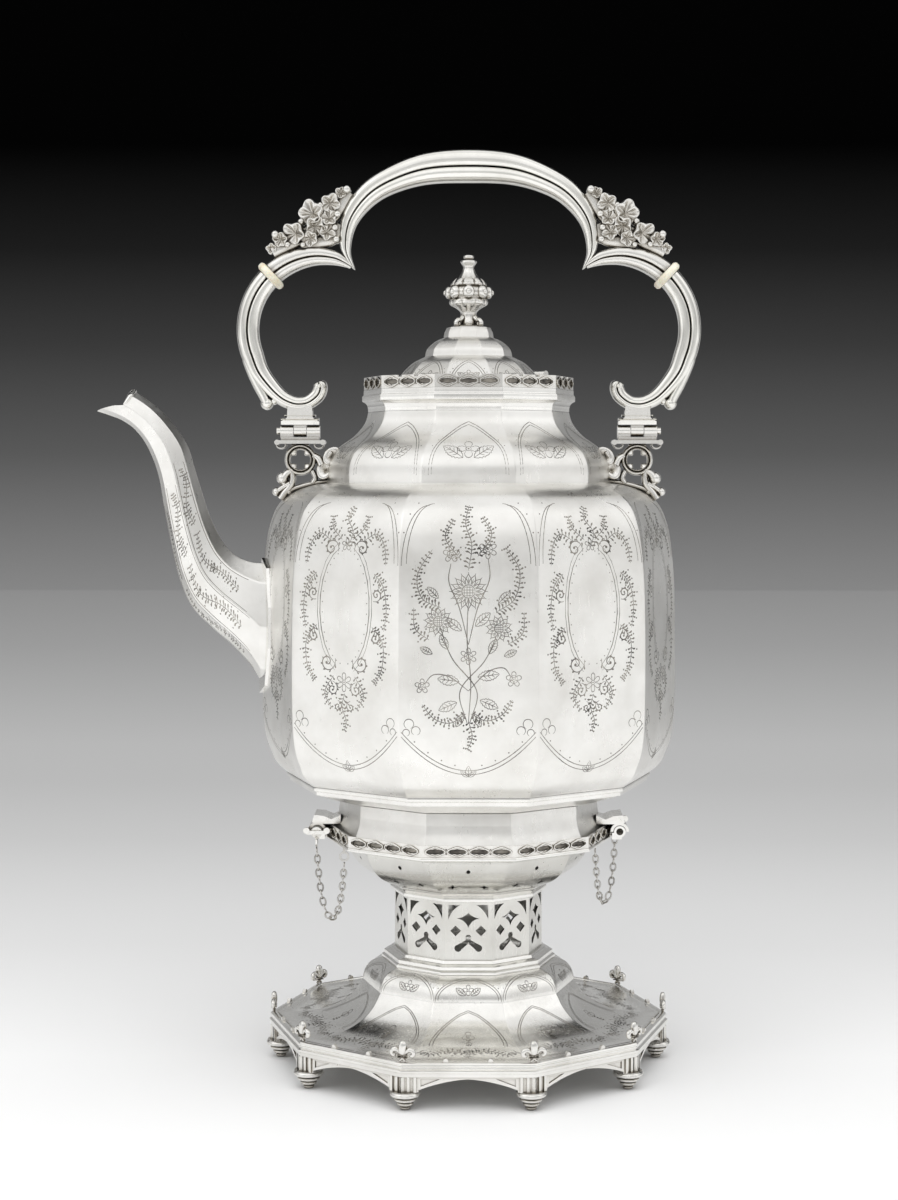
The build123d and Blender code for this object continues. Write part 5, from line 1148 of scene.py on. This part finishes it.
def build_lid():
    """Stepped lid with its vent, and the bud finial."""
    lid = raised("lid_form", [[(46.8, LID_SEAT + SHEET), (39.6, 320.45)], LID_LOW, [(22.0, 333.6), (20.6, 334.2)],
                              LID_HIGH, [(11.8, 343.1), (11.4, 345.6)], [(11.4, 345.6), (10.2, LID_TOP)],
                              [(10.2, LID_TOP), (2.4, LID_TOP)]], "lid", "lid_shell")
    pierce(lid, oval_prism((0, -13, 341.8), (1, 0, 0), 3.9, 1.25, 4.0))
    build_finial(LID_TOP)


def build_finial(z):
    """Bud finial on four curled feet: a calyx, a belt of eight bosses, a bell of drooping petals and a knop."""
    def up(samples, *points):
        return smooth_run([(r, z + h) for r, h in points], samples)

    stem = up(48, (7.2, 0.6), (5.0, 1.8), (4.1, 3.6), (3.7, 5.4), (4.0, 7.2), (5.8, 8.9), (8.2, 10.3), (8.9, 11.6),
              (8.6, 12.9))
    belt = up(24, (8.6, 12.9), (8.2, 13.7), (9.0, 14.9), (9.3, 16.2), (8.9, 17.8), (7.3, 19.2))
    bell = up(44, (7.3, 19.2), (8.1, 19.8), (7.7, 20.8), (5.4, 22.4), (3.7, 24.6), (2.6, 27.0), (2.5, 28.4),
              (3.3, 29.6), (3.8, 30.5), (3.4, 31.2), (1.8, 31.6))
    knop = up(16, (1.8, 31.6), (2.3, 32.2), (2.45, 33.0), (1.9, 33.7), (0.02, 34.0))
    body = np.array([(1.5, z), (7.2, z), *stem, *belt[1:], *bell[1:], *knop[1:], (0.02, z + 4), (1.5, z + 4)])

    def swell(height, angle):
        calyx, petals, neck = (np.exp(-((height - z - at) / wide) ** 2)
                               for at, wide in ((10.8, 2.2), (21.0, 2.4), (27.0, 3.0)))
        folds = np.abs(np.cos(4 * angle)) ** 0.6 - 0.75
        return (0.12 * calyx + 0.16 * petals) * folds + 0.05 * neck * np.cos(8 * angle)

    grids = [(turned_grid(body, 112, swell), True, True, False)]
    u = turns(28)
    tongue = pair(2.3 * np.sin(u) * (1 + 0.25 * np.cos(u)), 2.6 * np.cos(u))
    boss = pair(2.75 * np.sin(u), 2.95 * np.cos(u))
    curl = up(30, (4.2, 4.6), (5.6, 3.4), (7.4, 3.2), (8.4, 1.9), (7.6, 0.7), (6.5, 1.3), (7.0, 2.2))
    for k in range(8):
        away, side = compass(2 * math.pi * k / 8)
        belt_height = UP * (z + 16.2)
        grids += [cushion(tongue, 0.9, away * 6.7 + UP * (z + 20.9), side, -(away * 0.62 - UP * 0.78)),
                  cushion(boss, 2.3, away * 8.9 + belt_height, side),
                  cushion(boss * 0.42, 1.0, away * 10.9 + belt_height, side)]
        if k % 2:
            grids.append(carried(rod(curl, np.linspace(2.2, 1.5, 30), np.linspace(2.6, 2.0, 30)), away))
    form("bud_finial", grids, ornament_silver(), "lid", 50, ("finial",))


def lobe_line(angles, radius):
    """Points of the side lobe at angles in degrees round its centre."""
    return round_points(LOBE_X, LOBE_Z, radius, np.radians(angles))


def build_arm(side):
    """Side lobe of the trefoil: its inner rib runs out to an upturned knob, its outer rib to a spur with a ball."""
    ring = lobe_line(np.linspace(STOP_ANGLE - STOP_HALF, -18, 40), LOBE_RADIUS)
    tail = smooth_run([ring[-1], (98.9, 327.6), (93.8, 320.6), (88.6, 315.5), (84.0, 313.0), (80.0, 312.2),
                       (75.4, 313.0), (71.2, 316.2), (69.8, 319.8), (70.9, 322.4)], 60)[1:]
    share = np.linspace(0, 1, 59)
    thick = np.interp(share, [0, 0.13, 0.3, 0.45, 0.62, 0.8, 0.93, 1], [10.5, 9.2, 7.4, 6.7, 6.5, 6.9, 6.8, 4.6])
    deep = np.interp(share, [0, 0.3, 0.62, 0.85, 0.95, 1], [9.1, 8.0, 7.2, 8.2, 8.4, 6.0])
    rings = bar(np.concatenate([ring, tail]), np.concatenate([np.full(40, 10.6), thick]),
                np.concatenate([np.full(40, 9.1), deep]))
    spur = smooth_run([(105.9, 342.0), (105.0, 334.4), (102.4, 327.4), (99.2, 320.8), (96.6, 315.8),
                       (95.2, 312.8)], 34)
    fat = np.interp(np.linspace(0, 1, 34), [0, 0.25, 0.6, 0.85, 1], [2.0, 4.2, 5.0, 4.6, 4.6])
    grids = [tube(rings), rod(spur, fat, np.interp(fat, [2, 5], [5.0, 7.6]), 18)]
    for z, wide, wire in ((304.9, 17.8, 1.5), (306.6, 14.6, 1.2)):
        grids.append(rod(pair(HINGE_X + np.linspace(-wide / 2, wide / 2, 8), np.full(8, z)), wire, 7.0, 12))
    grids += [ball(95.0, 0, 312.4, 3.1, 1.25), ball(91.6, 0, 313.6, 1.9, 1.5), ball(70.2, 0, 320.6, 1.5, 3.1)]
    paired("arm", side, grids, handle_silver(), "handle", "handle_arm")


def lobed(angles, base, lobes):
    """Radius of a lobed leaf: base plus a rounded bump (cos^2) round each (angle, height, half-width)."""
    r = np.full_like(angles, base)
    for at, height, wide in lobes:
        d = np.abs((angles - math.radians(at) + math.pi) % (2 * math.pi) - math.pi)
        r += height * np.cos(np.clip(d / math.radians(wide), 0, 1) * math.pi / 2) ** 2
    return r


def vine_leaf(size, broad):
    """Cupped leaf, five-lobed or broad: front height t (sin(u)^p - 1.3 (1 - cos u)^q) less a fold per lobe,
    so that a thin rim stands round hollow lobes."""
    if broad:
        base, lobes = 0.84, [(90, 0.18, 70), (-80, 0.14, 60)]
        steep, dished, fold, folds, height = 0.5, 1.6, -0.04, 3, 0.42
    else:
        base, lobes = 0.78, [(90, 0.30, 46), (14, 0.22, 44), (166, 0.22, 44), (-58, 0.12, 40), (238, 0.12, 40)]
        steep, dished, fold, folds, height = 0.26, 0.85, 0.20, 5, 0.50
    a = turns(60)
    u = np.concatenate([np.linspace(-math.pi / 2, 0, 6)[:-1], np.linspace(0, math.pi / 2, 13)])[:, None]
    flat = (round_points(0, 0, lobed(a, base, lobes), a) * size)[None] * np.cos(u)[..., None]
    rise, dish = np.abs(np.sin(u)) ** steep, 1 - np.cos(u)
    vein = -fold * np.cos(folds * (a[None] - math.pi / 2)) * np.sin(2 * u) ** 2
    h = np.where(u > 0, rise - 1.3 * dish ** dished + vein, -0.7 * rise) * size * height
    return np.concatenate([flat, h[..., None]], axis=2)


def leaf_pair(x, z, size, turn, tilt, deep, broad=False):
    """A cupped leaf and its twin on the back, at a place in the XZ plane, turned and tilted by degrees."""
    a, b = math.radians(turn), math.radians(tilt)
    twins = []
    for face in (-1, 1):
        up = np.array([math.sin(-a), -face * math.sin(b) * 0.5, math.cos(a)])
        right = np.array([math.cos(a), -face * math.sin(b), math.sin(a)])
        up, right = up / np.linalg.norm(up), right / np.linalg.norm(right)
        twins.append(placed(vine_leaf(size, broad), (x, face * deep, z), -face * right, up))
    return twins


def build_lug(side):
    """Bracket of the handle: a double ring with four cusps, two cupped leaves to the shoulder and a balled foot."""
    u = np.linspace(0, 2 * math.pi, 49)
    grids = [hoop(round_points(HINGE_X, ROUNDEL_Z, radius, u), wire, deep, 12)
             for radius, wire, deep in ((6.6, 2.0, 6.2), (5.2, 1.3, 4.9))]
    for k in range(4):
        cusp = round_points(HINGE_X, ROUNDEL_Z, np.array([4.9, 4.2, 3.5, 2.9]), math.radians(45 + 90 * k))
        grids.append(rod(cusp, (6.2, 3.8, 2.0, 0.8), (4.6, 4.2, 3.4, 2.0), 10))
    for s in (-1, 1):
        loop = pair(HINGE_X + s * (8.9 + 2.1 * np.cos(u)), 292.9 + 1.5 * np.sin(u))
        grids.append(hoop(loop[::s], 1.2, 6.4, 10))
    for start, end, *points in (
            (1.1, 1.1, (70.6, 296.3), (79.4, 296.3), (88.2, 296.3)),
            (3.2, 4.2, (83.0, 281.0), (85.6, 279.6), (87.2, 277.6)),
            (3.2, 4.4, (83.2, 280.2), (83.2, 276.4), (84.4, 273.4), (86.8, 270.4), (88.6, 267.4)),
            (3.8, 2.8, (84.4, 274.6), (87.2, 273.2), (90.4, 271.0)),
            (3.0, 2.4, (87.6, 275.4), (86.0, 272.6), (88.4, 269.6)),
            (2.6, 3.0, (73.8, 280.8), (72.4, 277.6), (73.6, 274.8)),
            (2.2, 2.6, (65.4, 276.2), (70.6, 275.4), (76.4, 274.2), (82.4, 272.4), (85.8, 270.2)),
            (3.4, 4.4, (73.2, 288.0), (70.8, 286.4), (69.4, 283.6)),
            (3.0, 3.6, (69.6, 283.0), (66.8, 286.6), (64.6, 289.6)),
            (1.8, 1.8, (75.4, 292.7), (79.4, 293.2), (83.4, 292.7))):
        wire = np.linspace(start, end, 24)
        grids.append(rod(smooth_run(points, 24), wire, wire * 1.5 + 1.0, 12))
    grids += [ball(87.9, 0, 277.2, 3.0, 1.3), ball(90.9, 0, 270.9, 2.1, 1.5), ball(84.8, 0, 270.6, 1.7, 1.9)]
    grids += leaf_pair(67.6, 281.2, 5.0, 16, 14, 2.0, True) + leaf_pair(64.2, 287.4, 5.0, 44, 10, 2.0, True)
    paired("lug", side, grids, ornament_silver(), "kettle", "lug")


def build_bow():
    """Upper lobe of the trefoil: a ribbed bar from the left cusp over a thick crown to the right cusp."""
    half = np.array([((0, 415.3), (0, 430.7)), ((19.0, 414.6), (21.5, 428.7)), ((33.9, 410.8), (39.5, 421.6)),
                     ((44.3, 405), (51.8, 412.6)), ((52.5, 395.5), (59.6, 399.2)), ((55.3, 384.0), (60.2, 385.4)),
                     ((53.2, 374.8), (54.6, 375.6))])
    both = np.concatenate([half[:0:-1] * np.array([-1.0, 1.0]), half])
    inner, outer = smooth_run(both[:, 0], 121), smooth_run(both[:, 1], 121)
    deeper = [2.2, 5.0, 7.0, 8.6, 9.6, 10.4]
    deep = np.interp(np.linspace(0, 12, 121), range(13), deeper + [10.8] + deeper[::-1])
    middle, span = (inner + outer) / 2, outer - inner
    thick = np.linalg.norm(span, axis=1)
    out = np.stack([span[:, 0], 0 * thick, span[:, 1]], axis=1) / thick[:, None]
    centre = np.stack([middle[:, 0], 0 * thick, middle[:, 1]], axis=1)
    rings = tube_rings(centre, out, np.broadcast_to([0.0, 1.0, 0.0], out.shape), thick / 2, deep / 2, rib_section())
    form("bow_form", [tube(rings)], handle_silver(), "handle", replaces=("handle_bow",))


def build_leaves(side):
    """Tapering end of the side lobe with the cupped leaves, berries and tendrils that fill the nook of the bow."""
    u = np.linspace(0, 4, 34)
    angles = np.interp(u, range(5), [STOP_ANGLE + STOP_HALF, 68, 86, 102, 116.0])
    line = lobe_line(angles, np.interp(u, range(5), [LOBE_RADIUS, LOBE_RADIUS, LOBE_RADIUS, 34.0, 32.8]))
    thick = 10.6 * smooth_values(np.array([1, 0.94, 0.82, 0.62, 0.22]), 34)
    grids = [tube(bar(line, thick, thick * 0.86))]
    for leaf in ((73.4, 401.0, 6.3, -12, 20, 2.4), (81.4, 391.6, 5.8, -46, 26, 2.4), (72.0, 394.8, 5.0, 30, -20, 3.4),
                 (64.9, 405.6, 4.9, 24, -18, 2.4), (65.4, 398.8, 4.2, 60, 16, 3.2), (66.4, 392.2, 4.0, 110, 12, 3.0),
                 (74.0, 389.4, 3.9, -95, 18, 3.2), (88.0, 388.8, 3.7, -70, 20, 2.6), (92.3, 384.8, 2.7, -80, 16, 1.6),
                 (60.0, 410.4, 2.9, 30, 14, 1.8)):
        grids += leaf_pair(*leaf)
    for x, z, r in ((57.0, 412.0, 1.8), (62.0, 388.9, 1.5), (90.6, 391.2, 1.7), (61.4, 400.6, 1.6),
                    (78.4, 397.0, 1.5), (69.3, 404.6, 1.5), (62.6, 394.4, 1.5), (77.6, 386.4, 1.3),
                    (84.8, 386.4, 1.3)):
        grids += [ball(x, -3.8, z, r), ball(x, 3.8, z, r)]
    stem = smooth_run([(56.4, 411.0), (60.4, 404), (64.8, 398.6), (70.4, 395), (78, 390), (92, 383)], 40)
    fill = smooth_run([(60.6, 396), (63.6, 390.4), (70, 388.2), (78, 386.4)], 24)
    grids += [rod(stem, 6.8, 4.6), rod(fill, 7.4, 4.4)]
    paired("leaves", side, grids, ornament_silver(), "handle", "leaf_mount", 70)


def build_stops():
    """Two round heat stops between arms and bow."""
    a = math.radians(STOP_ANGLE)
    out, axis = np.array([math.cos(a), 0, math.sin(a)]), np.array([-math.sin(a), 0, math.cos(a)])
    centre = np.array([LOBE_X, 0, LOBE_Z]) + LOBE_RADIUS * out
    line = soften([(0.05, -1.9), (6.4, -1.9), (7.6, -1.0), (7.6, 1.0), (6.4, 1.9), (0.05, 1.9)], 0.8)
    turn = turns(48)[None, :, None]
    r, h = line[:, :1, None], line[:, 1:, None]
    points = centre + r * (np.cos(turn) * out + np.sin(turn) * np.array([0, 1.0, 0])) + h * axis
    for side, name in ((1, "right"), (-1, "left")):
        vertices, faces = join_grids(mirrored([(points * MM, True, True, True)], side))
        thing = add_mesh(f"heat_stop_{name}", vertices, faces, ivory(), "handle", replaces=(f"insulator_{name}",))


def chain_links(side):
    """Oval links hanging along z = a (cosh(h / a) - 1) - drop, between the pin's ring and the fixed ring."""
    head = -TUBE_END - PIN_HEAD * 0.85
    start = np.array([side * TUBE_X, head if side < 0 else PIN_DRAWN - head, TUBE_Z - PIN_RING_DROP - LINK_HANG])
    angle = math.radians(36 * (0.64 if side < 0 else 0.36))
    end = np.array([side * RING_RADIUS * math.cos(angle), side * RING_RADIUS * math.sin(angle),
                    RING_Z - RING_DROP - LINK_HANG])
    span = math.hypot(*(end - start)[:2])
    low, high = span / 40, span * 4
    for _ in range(60):
        a = (low + high) / 2
        low, high = (a, high) if a * (math.cosh(span / 2 / a) - 1) > CHAIN_DROP else (low, a)
    length = 2 * a * math.sinh(span / 2 / a)
    count = round(length / LINK_STEP)
    h = a * np.arcsinh(((np.arange(count) + 0.5) * length / count - length / 2) / a)
    centre = start + (end - start) * (h / span + 0.5)[:, None]
    centre[:, 2] += -CHAIN_DROP + a * (np.cosh(h / a) - 1)
    level = (end - start) * np.array([1, 1, 0]) / span
    way = unit(level[None] + np.sinh(h / a)[:, None] * UP)
    cross = np.cross(way, np.cross(level, UP))
    roll = np.where(np.arange(count) % 2 == 0, 1, -1)[:, None] * math.sqrt(0.5)
    side_way = cross * math.sqrt(0.5) + np.cross(way, cross) * roll
    wire = sizes().link_wire / MM / 2
    u = turns(18)
    v = turns(6)
    oval = pair((LINK_LONG / 2 - wire) * np.cos(u), (LINK_WIDE / 2 - wire) * np.sin(u))
    normal = unit(pair(np.cos(u) * LINK_WIDE / 2, np.sin(u) * LINK_LONG / 2))
    in_plane = oval[:, None] + wire * np.cos(v)[None, :, None] * normal[:, None]
    off = (wire * np.sin(v))[None, :, None]
    grids = [((c + in_plane[..., :1] * w + in_plane[..., 1:] * b + off * np.cross(w, b)) * MM, True, True, True)
             for c, w, b in zip(centre, way, side_way)]
    return grids, start * MM, end * MM


def build_chains():
    """The two retaining chains, each hanging in a curve between the stand and its pin."""
    for side, name in ((-1, "left"), (1, "right")):
        grids, start, end = chain_links(side)
        thing = form(f"chain_{name}_links", grids, chain_silver(), None, replaces=(f"chain_{name}",))
        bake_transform(thing)


def build_engraving():
    """Engraving on body, shoulder, lid, raised foot and spout."""
    spout, body, top, lid, foot = (Graver() for _ in range(5))
    for k in range(SIDES):
        body.panel = Panel(BODY, k)
        (grave_flower_panel if k in (0, 5) else grave_cartouche_panel)(body)
        grave_borders(body)
        for lines, outer, low, high, share in ((top, SHOULDER, 279.0, 303.0, 0.86),
                                               (lid, LID_LOW, 321.2, 331.6, 0.74),
                                               (foot, DOME_HIGH, 38.6, 48.0, 0.97)):
            lines.panel = Panel(outer, k)
            grave_arches(lines, low, high, share)
        foot.panel = Panel(DOME_LOW, k)
        grave_foot_panel(foot)
    for first, second in ((0, 1), (1, 2), (2, 3), (5, 6), (6, 7), (7, 0)):
        spout.panel = SpoutFlat(CORNERS[first], CORNERS[second])
        grave_spout_flat(spout, second in (2, 6))
    for lines, name, rides in ((spout, "spout", "kettle"), (body, "body", "kettle"), (top, "shoulder", "kettle"),
                               (lid, "lid", "lid"), (foot, "foot", "stand")):
        lines.finish(f"{name}_engraving", rides)


CAST = ("feet", "apron_arcade", "rim_beads", "lug_left", "lug_right", "hinge_lower_left", "hinge_lower_right",
        "hinge_upper_left", "hinge_upper_right", "foot_arm_left", "foot_arm_right", "pin_left", "pin_right",
        "rim_gallery", "stand_gallery")
OWN_FINISH = {"pierced_waist": waist_silver, "stand_bowl": bowl_silver, "chain_rings": chain_silver,
              "lamp_wick": wick_cloth, "kettle_bottom": raised_silver, "lamp_font": raised_silver}


def dress_cad():
    """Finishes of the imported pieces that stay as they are."""
    for name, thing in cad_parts.items():
        thing.data.materials.clear()
        thing.data.materials.append(OWN_FINISH.get(name, cast_silver if name in CAST else silver)())


# ------------------------------------------------------------------ studio
def build_air():
    """Soft white tent round the table: bright low down, quieter overhead and darker straight behind the camera."""
    world = bpy.data.worlds.new("Studio air")
    world.use_nodes = True
    w = Wiring(world.node_tree, world.node_tree.nodes["Background"])
    way = w.add("ShaderNodeSeparateXYZ", {"Vector": w.nodes.new("ShaderNodeTexCoord").outputs["Generated"]})
    height = w.add("ShaderNodeMapRange", {"Value": way.outputs["Z"], "From Min": -1.0}).outputs["Result"]
    tent = w.ramp(height, (0.42, (0.56, 0.56, 0.555, 1)), (0.465, (0.94, 0.94, 0.935, 1)),
                  (0.505, (0.76, 0.76, 0.755, 1)), (0.55, 0.50), (0.62, 0.56), (0.71, 0.80), (0.80, 1.0))
    w.feed({"Color": tent, "Strength": 0.90})
    bpy.context.scene.world = world


# Soft lights: name, place, aim, width, height, power and whether metal mirrors them
BANKS = (("left_bank", (-1.35, -0.80, 0.90), (0, 0, 0.25), 1.1, 1.8, 2.6, True),
         ("right_bank", (1.45, -0.45, 0.90), (0, 0, 0.25), 0.7, 1.7, 1.3, True),
         ("front_bank", (0.0, -2.10, 0.95), (0, 0, 0.25), 1.8, 0.7, 0.7, True),
         ("top_bank", (-0.25, -1.10, 1.35), (0, 0, 0.25), 1.8, 1.2, 1.25, True),
         ("back_bank", (0.0, 1.25, 0.42), (0, 0, 0.05), 2.4, 0.8, 2.2, True),
         ("floor_bank", (0.0, -1.90, 1.50), (0, -1.85, 0), 2.4, 1.2, 4.0, False),
         ("paper_bank", (0.0, -0.40, 2.40), (0, 0.2, 0), 3.0, 3.0, 37.0, False))


def build_studio():
    """Paper sweep, soft lights and the camera."""
    u = np.linspace(0, 1, 40)[1:] * math.pi / 2
    y = np.concatenate([np.linspace(-2.2, 0.9, 20), 0.9 + 0.7 * np.sin(u), np.full(10, 1.6)])
    z = np.concatenate([np.full(20, 0.0), 0.7 * (1 - np.cos(u)), np.linspace(0.75, 3.0, 10)])
    points = np.stack(np.broadcast_arrays(np.linspace(-2.6, 2.6, 14), y[:, None], z[:, None]), axis=2)
    mesh = new_mesh("studio_paper", *join_grids([(points, False, False, False)]))
    mesh.shade_smooth()
    mesh.materials.append(ground())
    paper = new_object("studio_paper", mesh)
    for name, place, aim, width, height, power, mirrored_in_metal in BANKS:
        data = bpy.data.lights.new(name, "AREA")
        data.shape, data.size, data.size_y, data.energy = "RECTANGLE", width, height, power
        lamp = new_object(name, data)
        lamp.location = place
        x, y, z = np.array(aim, float) - np.array(place, float)
        lamp.rotation_euler = (math.pi / 2 - math.atan2(-z, math.hypot(x, y)), 0, math.atan2(y, x) - math.pi / 2)
        lamp.visible_glossy = mirrored_in_metal
        lamp.visible_camera = False
    build_air()
    data = bpy.data.cameras.new("front_view")
    data.lens, data.sensor_width = 64.54, 36.0
    camera = new_object("front_view", data)
    camera.location = (0.0, -1.018, 0.2824)
    camera.rotation_euler = (math.radians(90 - 3.53), 0.0, math.radians(0.52))
    bpy.context.scene.camera = camera
    bpy.context.scene.view_settings.view_transform = "Standard"


# ------------------------------------------------------------------ operators
class Step:
    """One button of the panel: runs the build function of its class."""

    def execute(self, context):
        self.build()
        return {"FINISHED"}


class DressPacked(Step, bpy.types.Operator):
    """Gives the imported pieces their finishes"""
    bl_idname = "kettle.dress"
    bl_label = "Dress packed pieces"
    build = staticmethod(dress_cad)


class BuildStand(Step, bpy.types.Operator):
    """Builds the raised foot, mouldings and crests of the stand"""
    bl_idname = "kettle.stand"
    bl_label = "Build stand"
    build = staticmethod(build_stand)


class BuildBody(Step, bpy.types.Operator):
    """Builds the ten-sided body, shoulder, foot and collar"""
    bl_idname = "kettle.body"
    bl_label = "Build kettle body"
    build = staticmethod(build_kettle)


class BuildSpout(Step, bpy.types.Operator):
    """Builds the hollow bent spout"""
    bl_idname = "kettle.spout"
    bl_label = "Build spout"
    build = staticmethod(build_spout)


class BuildLid(Step, bpy.types.Operator):
    """Builds the stepped lid and its bud finial"""
    bl_idname = "kettle.lid"
    bl_label = "Build lid"
    build = staticmethod(build_lid)


class BuildHandle(Step, bpy.types.Operator):
    """Builds the bow, the side lobes, the leaves and the heat stops of the trefoil handle"""
    bl_idname = "kettle.handle"
    bl_label = "Build handle"

    def build(self):
        build_bow()
        for side in (-1, 1):
            build_arm(side)
            build_lug(side)
            build_leaves(side)
        build_stops()


class BuildChains(Step, bpy.types.Operator):
    """Builds the two retaining chains of the pins"""
    bl_idname = "kettle.chains"
    bl_label = "Build chains"
    build = staticmethod(build_chains)


class Engrave(Step, bpy.types.Operator):
    """Engraves body, shoulder, lid and foot"""
    bl_idname = "kettle.engrave"
    bl_label = "Engrave"
    build = staticmethod(build_engraving)


class BuildStudio(Step, bpy.types.Operator):
    """Builds the paper sweep, the soft lights and the camera"""
    bl_idname = "kettle.studio"
    bl_label = "Build studio"
    build = staticmethod(build_studio)


STEPS = (DressPacked, BuildStand, BuildBody, BuildSpout, BuildLid, BuildHandle, BuildChains, Engrave, BuildStudio)


class KettlePanel(bpy.types.Panel):
    """Sizes, colours and steps of the kettle"""
    bl_idname = "VIEW3D_PT_kettle"
    bl_label = "Spirit kettle"
    bl_space_type = "VIEW_3D"
    bl_region_type = "UI"
    bl_category = "Kettle"

    def draw(self, context):
        for settings in (context.scene.kettle_sizes, context.scene.kettle_colours):
            for name in settings.__annotations__:
                self.layout.prop(settings, name)
        for step in STEPS:
            self.layout.operator(step.bl_idname)


CLASSES = (KettleSizes, KettleColours) + STEPS + (KettlePanel,)


def register():
    for thing in CLASSES:
        bpy.utils.register_class(thing)
    bpy.types.Scene.kettle_sizes = bpy.props.PointerProperty(type=KettleSizes)
    bpy.types.Scene.kettle_colours = bpy.props.PointerProperty(type=KettleColours)


def unregister():
    del bpy.types.Scene.kettle_sizes
    del bpy.types.Scene.kettle_colours
    for thing in reversed(CLASSES):
        bpy.utils.unregister_class(thing)


def main():
    register()
    for step in STEPS:
        area, word = step.bl_idname.split(".")
        getattr(getattr(bpy.ops, area), word)()
    bpy.context.view_layer.update()


if __name__ == "__main__":
    main()
